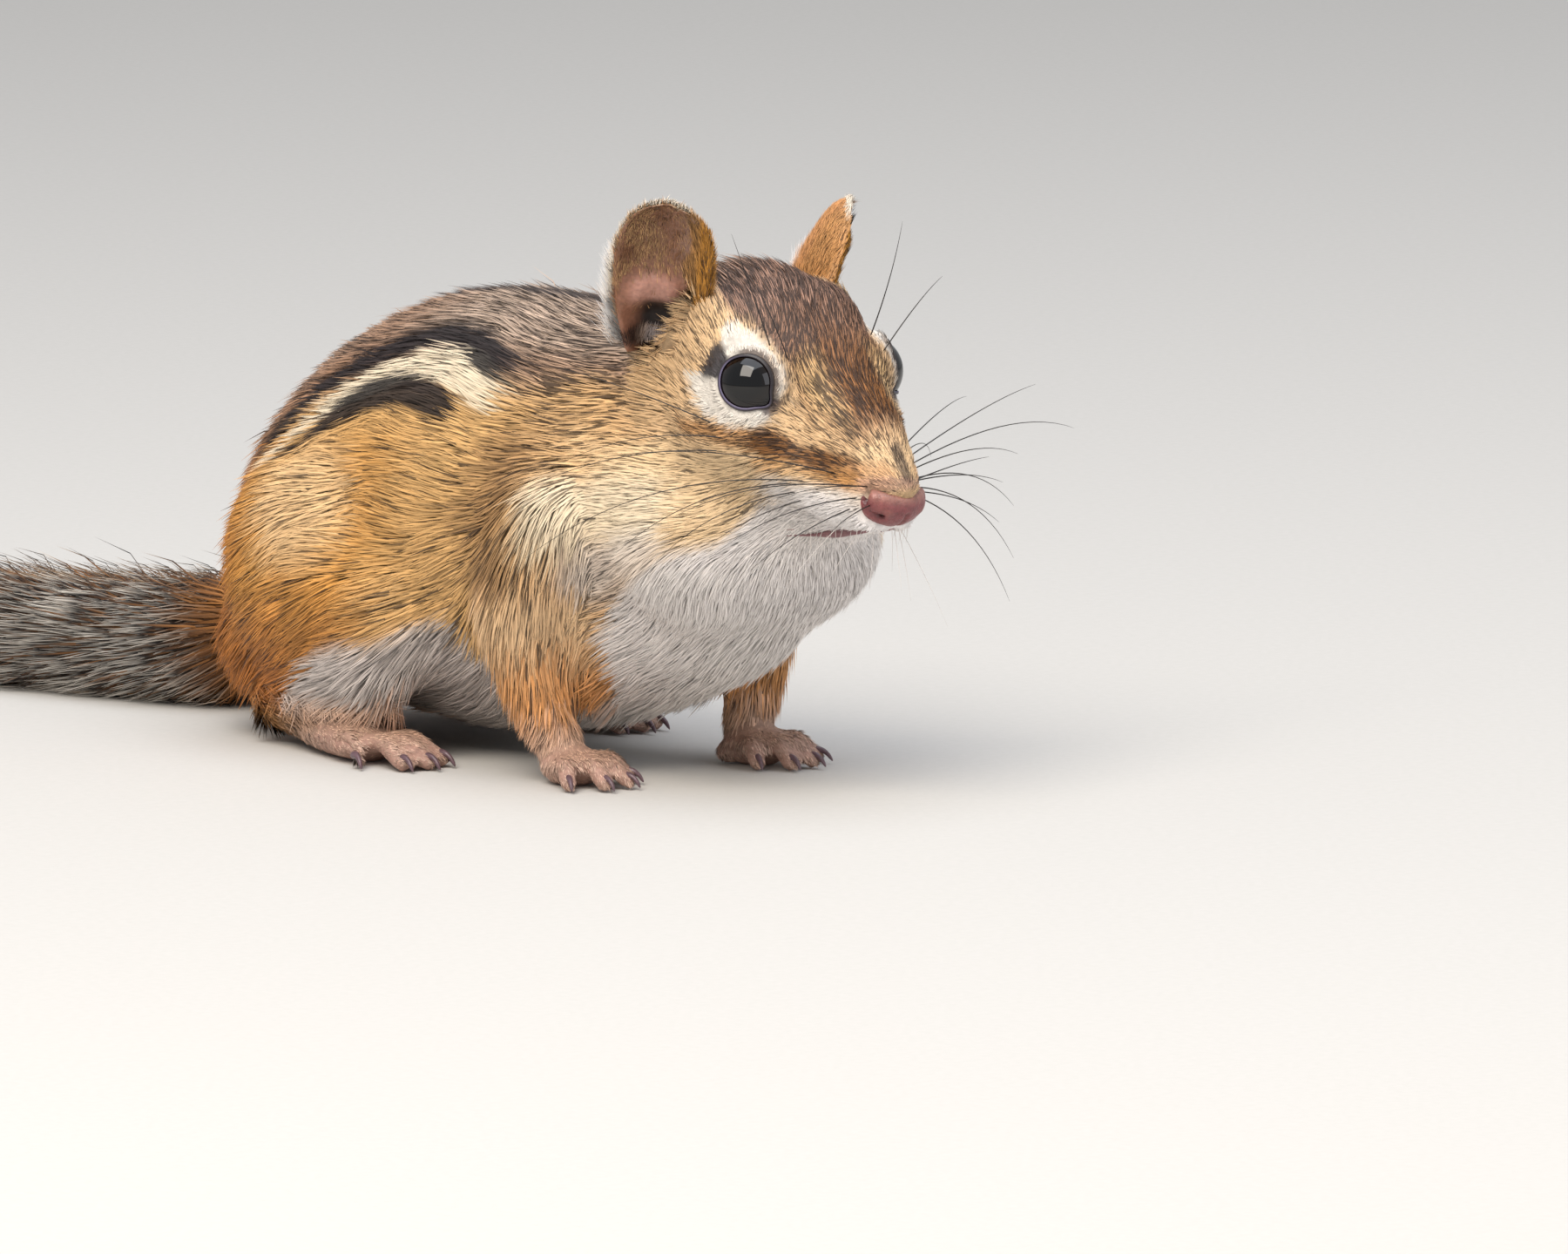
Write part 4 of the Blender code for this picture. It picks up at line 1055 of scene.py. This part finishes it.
def grow(roots, normals, flow, length, width, lift, rings=1, pull=0.45, herd=12):
    """Points of closed spindles that leave the skin at a slant, bend along it and lean together in clumps,
    and the leader of each one's clump."""
    count = len(roots)
    across = np.cross(normals, flow)
    length = length * np.exp(dice.normal(0, 0.14, count))
    lean = dice.normal(0, 0.10, count)
    flow = unit(flow + lean[:, None] * across)
    across = np.cross(normals, flow)
    lift = lift * np.exp(dice.normal(0, 0.22, count))
    stops = np.linspace(0, 1, rings + 2)
    if rings == 1:
        stops[1] = 0.42
    line = [roots - 0.2 * normals]
    for k in range(rings + 1):
        slope = lift * np.interp((stops[k] + stops[k + 1]) / 2, [0, 1], [1.7, 0.25])
        step = (stops[k + 1] - stops[k]) * length
        level, rise = (np.cos(slope) * step)[:, None], (np.sin(slope) * step)[:, None]
        line.append(line[-1] + level * flow + rise * normals)
    # Each tuft leans towards the nearest of a few leaders, and more so towards its tip
    leaders = dice.choice(count, max(1, count // herd), replace=False)
    tree = KDTree(len(leaders))
    for k, leader in enumerate(leaders):
        tree.insert(roots[leader], k)
    tree.balance()
    chief = leaders[np.array([tree.find(root)[1] for root in roots])]
    gather = pull * dice.uniform(0.3, 1.0, count)[:, None]
    for k in range(1, len(line)):
        line[k] = line[k] + gather * stops[k] ** 1.5 * (line[k][chief] - line[k])
    swell = np.interp(stops[1:-1], [0, 0.4, 1], [0.8, 1.0, 0.25])
    spots = [line[0]]
    for k in range(rings):
        half = (0.5 * width * swell[k])[:, None]
        spots += [line[k + 1] + half * way for way in (across, -across, 0.75 * normals)]
    spots.append(line[-1])
    return np.stack(spots, axis=1), chief


# How far the light turns over the width of a tuft: a little, because hair scatters it
ROUNDING = 0.5


def tuft_faces(rings):
    """Triangles of a spindle with a point at each end and rings of three points between them."""
    faces = [(0, 3, 1), (0, 2, 3), (0, 1, 2)]
    for k in range(rings - 1):
        a, b, c = 1 + 3 * k, 2 + 3 * k, 3 + 3 * k
        for p, q in ((a, c), (c, b), (b, a)):
            faces += [(p, q, q + 3), (p, q + 3, p + 3)]
    a, b, c = 3 * rings - 2, 3 * rings - 1, 3 * rings
    tip = 3 * rings + 1
    return faces + [(tip, a, c), (tip, c, b), (tip, b, a)]


def tuft_mesh(name, spots, normals, colours, patch):
    """One mesh of all the tufts, with their colours and a small patch of the baking map for each."""
    count, per_tuft = spots.shape[:2]
    rings = (per_tuft - 2) // 3
    shape = np.array(tuft_faces(rings))
    faces = (shape[None] + per_tuft * np.arange(count)[:, None, None]).reshape(-1, 3)
    mesh = bpy.data.meshes.new(name)
    mesh.vertices.add(count * per_tuft)
    mesh.vertices.foreach_set("co", spots.astype(np.float32).ravel())
    mesh.loops.add(faces.size)
    mesh.loops.foreach_set("vertex_index", faces.astype(np.int32).ravel())
    mesh.polygons.add(len(faces))
    mesh.polygons.foreach_set("loop_start", np.arange(0, faces.size, 3, dtype=np.int32))
    mesh.update(calc_edges=True)
    mesh.shade_smooth()
    across = unit(spots[:, 1] - spots[:, 2])
    facing = np.repeat(normals[:, None, :], per_tuft, axis=1)
    for k in range(rings):
        facing[:, 1 + 3 * k] += ROUNDING * across
        facing[:, 2 + 3 * k] -= ROUNDING * across
    mesh.normals_split_custom_set_from_vertices(unit(facing).reshape(-1, 3))
    stain_points(mesh, colours)
    corner = np.zeros((per_tuft, 2))
    for k in range(rings):
        along = (k + 1) / (rings + 1)
        corner[1 + 3 * k : 4 + 3 * k] = [(along, 0.0), (along, 1.0), (along, 0.5)]
    corner[0], corner[-1] = (0, 0.5), (1, 0.5)
    uv = patch[:, None, :] + 0.003 * corner[None]
    layer = mesh.uv_layers.new(name="OFBake")
    layer.data.foreach_set("uv", uv.reshape(-1, 2)[faces.ravel()].astype(np.float32).ravel())
    return mesh


# The most of one primary that a hair gives back, so that the lightest tufts keep their hue
BRIGHTEST = 0.88


def hair_colours(base, dark, chief, per_tuft, tip_light=1.22, root_dark=0.44):
    """Colours along each tuft: slaty at the root, its own shade further out, paler or black at the tip."""
    count = len(base)
    pale = step_up(base.min(axis=1), 0.35, 0.6)
    spread = dice.normal(0, 0.2, count) + dice.normal(0, 0.11, count)[chief]
    tone = np.exp(spread * (1 - 0.55 * pale))[:, None]
    shade = base * tone
    black = (dice.random(count) < dark)[:, None]
    soot = np.array(linear("#2a201c"))
    stops = np.concatenate(([0], np.repeat(np.linspace(0, 1, (per_tuft - 2) // 3 + 2)[1:-1], 3), [1]))
    colours = np.empty((count, per_tuft, 3))
    for k, stop in enumerate(stops):
        light = np.interp(stop, [0, 0.4, 1], [root_dark, 0.92, tip_light]) * np.ones(count)
        light += pale * np.interp(stop, [0, 0.4, 1], [0.42, 0.08, -0.12])
        tint = shade * light[:, None]
        sooty = np.interp(stop, [0, 0.45, 1], [0.3, 0.8, 0.9])
        colours[:, k] = np.where(black, tint * (1 - sooty) + soot * sooty, tint)
    return colours / np.maximum(1, colours.max(axis=2, keepdims=True) / BRIGHTEST)


# Hair: each tuft in its own colours, with the soft dull sheen of a dry coat
coat_material, tree, hair, _ = new_material("coat_hair", {"Roughness": 0.55, "Specular IOR Level": 0.35})
stain = add_node(tree, "ShaderNodeAttribute", attribute_name="coat")
tree.links.new(stain.outputs["Color"], hair.inputs["Base Color"])

# How many layers of tufts cover the skin, and the most roots to the square millimetre
COVER = 5.0
MOST_ROOTS = 34
# Foot, upward axis and opening of each ear in the head's frame
EAR_SET = {
    "left": ((12.2, 14.8, -4.8), (1.2, -0.6, 18.5), (0.75, -0.63, 0.2)),
    "right": ((-12.1, 14.6, -2.4), (-3.4, -0.4, 18.5), (-0.74, -0.64, 0.2)),
}
EAR_HEIGHT = 20.0
EAR_WIDTH = 10.7


def ear_axes(name):
    """An ear's foot, and its directions upwards, out of its opening and across to its front edge."""
    foot, up, face = (Vector(row) for row in EAR_SET[name])
    up = (HEAD_TURN @ up).normalized()
    face = HEAD_TURN @ face
    face = (face - up * up.dot(face)).normalized()
    return HEAD @ foot, up, face, face.cross(up) * SIDES[name]


def bare(points):
    """1 where no hair grows: the eyes and lids, the nose pad, the ear's canal, the lips and the soles."""
    pad_reach, pad_bare = pad_distance(points)
    none = (points[:, 2] < 0.5) | ((pad_reach < 1.12) & (pad_bare > 0.4))
    for name in SIDES:
        reach, off_gaze, turn = eye_polar(points, name)
        none |= (reach < 7) & (off_gaze < opening(turn) + 5)
        foot, up, face, across = ear_axes(name)
        offset = points - np.array(foot)
        aside, ahead, above = (offset @ np.array(way) for way in (across, face, up))
        none |= (aside > -4.8) & (aside < 3.6) & (ahead > -0.8) & (ahead < 5.0) & (above > 0.6)
    return none


def thickness(points):
    """Roots to the square millimetre: more where the tufts are small, fewer on the feet, none on the tail."""
    foot = foot_share(points)
    wanted = COVER * (1 - 0.72 * foot) / (0.5 * hair_length(points) * hair_width(points))
    wanted = np.minimum(wanted, MOST_ROOTS)
    reach, _ = near_path(points, tail_line)
    return wanted * (1 - bare(points)) * ((points[:, 1] < 88) | (reach > 4.6))


def map_patch(*shares):
    """Places on the baking map for two shares between 0 and 1."""
    return np.column_stack([0.02 + 0.95 * share for share in shares])


roots, normals = scatter(skin_surface, thickness)
lift = np.radians(np.interp(hair_length(roots), [0.6, 2, 4, 6.5], [13, 13, 14, 14]))
flow = hair_flow(roots, normals)
spots, chief = grow(roots, normals, flow, hair_length(roots), hair_width(roots), lift)
# A tuft takes its colour from a place somewhere along it, so that the markings have feathered edges
where = dice.uniform(0.1, 1.0, (len(roots), 1))
base, dark = markings(spots[:, 3] * (1 - where) + spots[:, 4] * where)
# The hair at the foot of each ear is shaded as if it faced the way the ear opens
shading = normals
for name in SIDES:
    foot, up, face, across = ear_axes(name)
    before = (roots - np.array(foot)) @ np.array(face)
    near = step_up(near_spot(roots, foot + 3 * up), 10, 5) * step_up(before, -1.5, 0.5)
    shading = unit(shading + 1.6 * near[:, None] * np.array(face))
colours = hair_colours(base, dark, chief, spots.shape[1])
spots[:, :, 2] = np.maximum(spots[:, :, 2], 0.05)
on_foot = foot_share(roots) > 0.5
# Pieces of the coat: bands of the body, from one place along it to the next, and the feet
BANDS = {
    "muzzle": (-30, -4), "face": (-4, 6), "ear_base": (6, 17), "neck": (17, 32), "flank": (32, 54),
    "hip": (54, 72), "rump": (72, 110),
}
FEET = {"forefoot": (-10, 42), "hindfoot": (42, 100)}
for side_name, side in SIDES.items():
    own = roots[:, 0] * side >= 0
    for band, (y_low, y_high) in (*BANDS.items(), *FEET.items()):
        wanted = on_foot if band in FEET else ~on_foot
        part = own & wanted & (roots[:, 1] >= y_low) & (roots[:, 1] < y_high)
        along = (roots[part, 1] - y_low) / (y_high - y_low)
        if band in FEET:
            patch = map_patch(along, np.clip(roots[part, 2] / 20, 0, 1))
        else:
            turn = np.arctan2(np.abs(roots[part, 0]), above_axis(roots[part])) / math.pi
            patch = map_patch(turn, along)
        coat_mesh = tuft_mesh("coat", spots[part], shading[part], colours[part], patch)
        add_piece(f"coat_{band}_{side_name}", coat_mesh, coat_material)

# The ears: thin open cups of bare pinkish-brown skin inside, with a fold above the canal, whose dark is
# painted shade, edged and backed with very short hair that is orange in front and white behind.

# Thin bare skin: a soft sheen, fine mottled dents half a millimetre apart, and some light through it
ear_material, tree, ear_skin, _, mottle = stained_material(
    "ear_skin",
    {"Roughness": 0.5, "Subsurface Weight": 0.2, "Subsurface Radius": (0.0012, 0.0005, 0.0003)},
    {"Scale": 2200.0, "Detail": 4.0},
    (0.8, 1.15),
)
relief = {"Height": mottle.outputs["Fac"], "Strength": 0.25, "Distance": 0.0001}
tree.links.new(add_node(tree, "ShaderNodeBump", relief).outputs["Normal"], ear_skin.inputs["Normal"])
# The most roots to the square millimetre of an ear
EAR_ROOTS = 46.0


def ear_place(points, name):
    """Share of an ear's height, share of its half width towards the front, and offset along its opening."""
    foot, up, face, across = ear_axes(name)
    offset = points - np.array(foot)
    sideways = offset @ np.array(across) / (0.5 * EAR_WIDTH)
    return offset @ np.array(up) / EAR_HEIGHT, sideways, offset @ np.array(face)


def ear_thickness(points):
    """Roots to the square millimetre on the ear at hand, which are thinned out later."""
    return np.where(ear_place(points, name)[0] > 0.03, EAR_ROOTS, 0.0)


for name in SIDES:
    cup_mesh = finished_mesh(joined_copy(f"ear_{name}"), "cup")
    ear_mesh = after_modifier(cup_mesh, "SUBSURF", levels=2, render_levels=2)
    foot, up, face, across = ear_axes(name)
    points = read_points(ear_mesh)
    outward = read_normals(ear_mesh)
    height, sideways, _ = ear_place(points, name)
    # The cup's folds: a shelf over the canal, and a roll along the front edge
    inner = step_up(outward @ np.array(face), -0.1, 0.3)
    brow = 0.50 - 0.16 * (sideways + 0.15) ** 2
    shelf = inner * step_up(height, brow + 0.03, brow - 0.03) * step_up(height, 0.22, 0.38)
    shelf = shelf * step_up(np.abs(sideways + 0.15), 0.85, 0.4)
    roll = inner * np.exp(-(((sideways - 0.85) / 0.2) ** 2))
    roll = roll * step_up(height, 0.1, 0.3) * step_up(height, 0.98, 0.8)
    points += outward * (1.5 * shelf + 0.5 * roll)[:, None]
    write_points(ear_mesh, points)
    colour = np.tile(linear("#8f6650"), (len(points), 1))
    colour = paint(
        colour,
        (inner * step_up(sideways, 0.1, 0.6), "#8f6f60"),
        (inner * step_up(height, 0.60, 0.46) * 0.7, "#8e5f4a"),
        (step_up(shelf, 0.2, 0.9), "#b08171"),
    )
    edge = step_up(np.abs(outward @ np.array(face)), 0.5, 0.2) * step_up(height, 0.25, 0.5)
    colour = blend(colour, edge, "#bda589")
    # Painted shade: the canal low in the cup is painted near-black
    canal_shade = step_up(height, 0.37, 0.30) * step_up(np.abs(sideways - 0.08), 0.75, 0.35)
    colour = blend(colour, inner * canal_shade, "#1a0a07")
    colour = blend(colour, 1 - inner, "#a9784c")
    stain_points(ear_mesh, colour)
    ear_mesh.shade_smooth()

    # Hair grows on the back, the rim and the front edge, thinly inside, and in a tuft below the opening
    roots, normals = scatter(surface_of(ear_mesh), ear_thickness)
    height, sideways, _ = ear_place(roots, name)
    facing = normals @ np.array(face)
    inner = step_up(facing, 0.0, 0.4)
    rim = step_up(np.abs(facing), 0.6, 0.3) * step_up(height, 0.25, 0.45)
    front = step_up(sideways + 0.12 * wander(roots, 1.5, 51), 0.50, 0.70)
    low = (inner > 0.5) & (height < 0.12) & (sideways < 0.4)
    shelf = step_up(height, 0.54 - 0.16 * (sideways + 0.15) ** 2, 0.46)
    shelf = shelf * step_up(np.abs(sideways + 0.15), 0.85, 0.6)
    inside = (0.25 + 0.5 * step_up(sideways, 0.2, -0.5)) * (1 - 0.97 * shelf) + front
    wanted = np.where(inner > 0.5, inside, 0.8)
    keep = dice.random(len(roots)) < np.maximum(np.where(low, 0.9, wanted), rim)
    roots, normals, height, sideways, inner, rim, front, low = (
        what[keep] for what in (roots, normals, height, sideways, inner, rim, front, low)
    )
    # It lies upwards and fans out to the sides, and low on the ear's back it lies backwards and stands off
    within = inner * (1 - front)
    nape = step_up(sideways, 0.0, -0.6) * (1 - inner) * step_up(height, 0.75, 0.5)
    aside = 0.35 * sideways - 0.45 * front * inner + 0.25 * wander(roots, 1.2, 53)
    flow = np.array(up) + np.array(across) * aside[:, None]
    flow = flow + np.array((0.0, 1.0, -0.3)) * (1.0 * nape)[:, None]
    flow = unit(flow - normals * (flow * normals).sum(1)[:, None])
    length = np.interp(height, [0.1, 0.5, 1], [2.8, 1.9, 1.1]) * (1 + 0.5 * nape)
    length = np.where(inner > 0.5, 1.2 + 0.8 * front * step_up(height, 1.0, 0.7), length)
    length = np.where(low, 1.7, np.where(rim > 0.5, 1.2, length))
    lift = 0.22 + 0.6 * rim + 0.5 * nape + 0.2 * within
    width = np.where(within > 0.5, 0.075, 0.11)
    spots, chief = grow(roots, normals, flow, length, width, lift, pull=0.35)
    base = np.tile(linear("#cf9663"), (len(roots), 1))
    base = paint(
        base,
        # Painted light: the orange on the front of the ear's back is paler on the left ear than on the right
        ((1 - inner) * step_up(sideways, 0.2, 0.5), "#bd8743" if name == "right" else "#cc9761"),
        ((1 - inner) * step_up(sideways, -0.1, -0.5) * step_up(height, 0.85, 0.6), "#efebe8"),
        (within, "#b08a62"),
        (within * step_up(wander(roots, 1.6, 55), 0, 0.8), "#8a6145"),
        (inner * front, "#a57b4c"),
        (inner * front * step_up(sideways, 0.7, 0.9), "#b07a30"),
        (rim * step_up(sideways, 0.75, 0.4), "#e6d9c5"),
        (low * step_up(sideways, -0.2, -0.5), "#3d2b25"),
        (low * step_up(sideways, -0.5, -0.2), "#9b8f8c"),
    )
    colours = hair_colours(base, 0.05 + 0.16 * front * inner, chief, spots.shape[1])
    normals = unit(normals + nape[:, None] * np.array((0.0, -0.4, 1.6)) + 1.1 * rim[:, None] * np.array(up))
    spread = 0.25 + 0.2 * np.clip(sideways, -1, 1) + 0.5 * (inner > 0.5)
    patch = np.column_stack((spread, 0.02 + 0.95 * np.clip(height, 0, 1)))
    add_piece(f"ear_{name}_cup", ear_mesh, ear_material, [f"ear_{name}"])
    coat_mesh = tuft_mesh("coat", spots, normals, colours, patch)
    add_piece(f"coat_ear_{name}", coat_mesh, coat_material)

# The tail: long soft hair that stands off a thin core and lies back along it, flattened by the floor.
# Each hair is rusty at the root, black further out and frosted with silver at the tip.

# Roots to the square millimetre of the tail's core
TAIL_ROOTS = 11.5
# Shades from the root to the tip of the hairs on the tail's sides and on its top and underside
HAIR_STOPS = [0, 0.3, 0.42, 0.70, 0.84, 1.0]
SIDE_SHADES = ["#9a6a3d", "#a06c3c", "#241f1d", "#1f1b1b", "#b7ada0", "#dcd5cb"]
TOP_SHADES = ["#9a6a3d", "#a9723f", "#8f5e34", "#2c2320", "#3a2f29", "#a98c6c"]
UNDER_SHADES = ["#a86e3a", "#b0763f", "#a9703b", "#7d512c", "#4a3a2f", "#bda88b"]
# Shares of its length at which the eight points of a tuft lie
TUFT_STOPS = [0, *[1 / 3] * 3, *[2 / 3] * 3, 1]


def on_tail_only(points):
    """Roots to the square millimetre on the tail's core, and none elsewhere."""
    reach, _ = near_path(points, tail_line)
    return np.where((points[:, 1] > 87) & (reach < 4.8), TAIL_ROOTS, 0.0)


roots, normals = scatter(skin_surface, on_tail_only)
_, along = near_path(roots, tail_line)
stops = np.array(tail_line)
spot = along * (len(stops) - 1)
leg = np.minimum(spot.astype(int), len(stops) - 2)
ahead = unit(stops[leg + 1] - stops[leg])
flow = unit(ahead - normals * (ahead * normals).sum(1)[:, None])
# The hair is longest and stands off most at the sides, so that the tail is broad and flat
broad = np.abs(normals[:, 0])
length = np.interp(along, [0, 0.12, 0.3, 0.8, 1], [7, 9, 13.5, 15, 12])
length = length * np.interp(broad, [0, 1], [0.72, 1.0])
lift = np.radians(np.interp(along, [0, 0.2, 0.7, 0.88, 1], [18, 34, 32, 23, 9]))
lift = lift * np.interp(broad, [0, 1], [0.72, 1.1])
width = np.full(len(roots), 0.30)
spots, chief = grow(roots, normals, flow, length, width, lift, rings=2, pull=0.5, herd=16)
spots[:, :, 2] = np.maximum(spots[:, :, 2], 0.15 + 0.25 * dice.random((len(roots), 1)))
under = step_up(normals[:, 2], 0.1, -0.5)
count = len(roots)
tone = np.exp(dice.normal(0, 0.14, count) + dice.normal(0, 0.1, count)[chief])[:, None]
start = np.interp(along, [0, 0.15, 0.3], [1.0, 0.9, 0.0])
edge_hair = step_up(broad + dice.normal(0, 0.12, count), 0.35, 0.75)[:, None]
colours = np.empty((count, len(TUFT_STOPS), 3))
for k, stop in enumerate(TUFT_STOPS):
    place = np.clip(stop + dice.normal(0, 0.06, count), 0, 1)
    top, low, edge = (
        np.column_stack([np.interp(place, HAIR_STOPS, channel) for channel in zip(*map(linear, shades))])
        for shades in (TOP_SHADES, UNDER_SHADES, SIDE_SHADES)
    )
    middle = top * (1 - under[:, None]) + low * under[:, None]
    colours[:, k] = tone * blend(middle * (1 - edge_hair) + edge * edge_hair, start, "#a5692f")
turn = np.arctan2(normals[:, 0], normals[:, 2]) / (2 * math.pi) + 0.5
patch = map_patch(turn, along)
colours = np.clip(colours, 0, 1)
for number, part in enumerate(np.array_split(dice.permutation(count), 2), 1):
    coat_mesh = tuft_mesh("coat", spots[part], normals[part], colours[part], patch[part])
    add_piece(f"coat_tail_{number}", coat_mesh, coat_material)

# The whiskers: stiff tapered hairs in rows on each side of the muzzle, black and swept back, with a few
# over each eye and short white ones on the chin.

# Stiff hair: black to dark brown over a few millimetres, with a narrow gloss along it
noise = {"Scale": 300.0}
whisker_material = two_tone_material("whisker_hair", ("#0f0c0b", "#2a211c"), {"Roughness": 0.35}, noise)
# Radius at the root in millimetres, drawn thicker than a real whisker's so that it shows
WHISKER_THICKNESS = 0.075
# Root, tip and upward bow of each whisker in the animal's frame
WHISKERS = {
    "right": [
        ((-6.5, -7.5, 38.0), (-28, 19, 28.5), 3.5), ((-7.8, -5.4, 37.6), (-22, 10, 29.5), 2.4),
        ((-7.6, -5.2, 36.4), (-19, 6.5, 28.6), 2.0), ((-7.4, -5.2, 35.0), (-14.5, 1.5, 31.0), 0.8),
        ((-8.4, -4.6, 40.4), (-27, 22, 35.5), 3.0), ((-9.0, -4.0, 41.4), (-24, 17, 39.5), 2.6),
        ((-12.0, 2.0, 43.8), (-21, 24, 50.0), 0.8), ((-4.6, -11.5, 37.8), (-24, -2, 35.0), 1.6),
        ((-4.4, -12.2, 36.6), (-22, -6, 30.5), 1.5), ((-4.6, -11.6, 35.4), (-17, -7, 28.5), 0.8),
        ((-5.4, -9.8, 39.0), (-27, 8, 41.0), 1.6), ((-4.0, -13.2, 37.6), (-17, -12, 37.5), 0.8),
        ((-3.6, -13.6, 36.2), (-12, -15, 33.0), 0.4), ((-8.0, -1.5, 54.0), (-10.5, 3.0, 66.0), -0.5),
        ((-7.2, -3.5, 51.5), (-12.0, -1.5, 62.0), 0.4),
    ],
    "left": [
        ((5.6, -9.6, 39.6), (26, -8.8, 46.7), 1.0), ((6.0, -8.6, 38.6), (31, -10.0, 41.3), 2.2),
        ((5.4, -10.0, 38.4), (24, -8.0, 38.7), 1.4), ((5.2, -10.4, 37.6), (24, -7.3, 32.6), 2.0),
        ((5.2, -10.2, 36.8), (23, -8.4, 26.7), 2.2), ((5.0, -10.4, 36.0), (21, -9.9, 22.0), 2.0),
        ((4.4, -12.0, 37.6), (17, -13.0, 36.5), 0.8), ((4.2, -12.4, 36.6), (16, -13.5, 32.0), 0.8),
        ((6.8, -7.0, 40.0), (27, 4.0, 44.0), 1.2), ((7.4, -5.6, 38.6), (26, 9.0, 36.5), 2.0),
        ((7.6, -5.0, 37.2), (24, 11.0, 29.0), 2.0), ((3.8, -13.2, 37.8), (13, -15.0, 40.0), 0.4),
        ((12.0, 2.0, 43.8), (22, 20, 47.0), 0.8), ((8.0, -1.5, 54.0), (9.6, -4.0, 66.5), -0.6),
        ((7.2, -3.5, 51.5), (14.0, -6.0, 60.0), 0.6),
    ],
}
# The same for the white hairs of the chin
CHIN_HAIRS = [
    ((2.0, -12.2, 31.5), (3.0, -12.7, 24.0), 0.4), ((2.6, -11.6, 31.5), (8.0, -13.5, 20.6), 0.6),
    ((-3.8, -8.4, 33.0), (-7.5, -3.0, 25.5), 0.5), ((-5.0, -6.4, 33.0), (-9.5, 2.0, 26.0), 0.5),
    ((-6.6, -4.0, 33.0), (-11.5, 5.5, 24.5), 0.5), ((-2.6, -10.4, 32.4), (-5.0, -7.5, 26.5), 0.4),
    ((4.0, -8.4, 33.0), (8.0, -4.0, 26.0), 0.5), ((5.4, -6.0, 33.0), (10.5, 1.5, 25.5), 0.5),
    ((0.6, -12.6, 31.6), (0.4, -14.0, 25.5), 0.3), ((-1.6, -11.8, 31.8), (-2.6, -11.8, 26.0), 0.3),
]


# Points along each whisker
WHISKER_STOPS = 15


def whisker(root, tip, bow):
    """A curve from the skin to a free tip, bowed upwards."""
    spot, normal, *_ = hide_tree.find_nearest(Vector(root))
    tip = Vector(tip)
    bend = 0.45 * spot + 0.55 * tip + Vector((0, 0, 2 * bow)) + 0.06 * (tip - spot).length * normal
    start = spot - 0.4 * normal
    shares = (k / (WHISKER_STOPS - 1) for k in range(WHISKER_STOPS))
    return [tuple((1 - t) ** 2 * start + 2 * t * (1 - t) * bend + t * t * tip) for t in shares]


# White hair: the same bristle without pigment
chin_material = two_tone_material("chin_hair", ("#cfc6bf", "#efe9e4"), {"Roughness": 0.4}, noise)
taper = WHISKER_THICKNESS * np.linspace(1, 0, WHISKER_STOPS) ** 0.7 + 0.012
for name in SIDES:
    lines = [whisker(*row) for row in WHISKERS[name]]
    bristle_mesh = tube_mesh("whiskers", lines, np.tile(taper, (len(lines), 1)), 5)
    add_piece(f"whiskers_{name}", bristle_mesh, whisker_material)
lines = [whisker(*row) for row in CHIN_HAIRS]
# White hairs of the upper lip that hang over the mouth
for k in (*range(4, 22), *range(27, 45)):
    place, normal = lip_path[k]
    rise, back = dice.uniform(0.7, 1.8), dice.uniform(0.4, 1.6)
    root = place + Vector((0, 0, rise))
    lines.append(whisker(root, place + 0.5 * normal + Vector((0, back, -dice.uniform(1.0, 2.4))), 0.3))
bristle_mesh = tube_mesh("whiskers", lines, np.tile(0.55 * taper, (len(lines), 1)), 5)
add_piece("chin_hairs", bristle_mesh, chin_material)
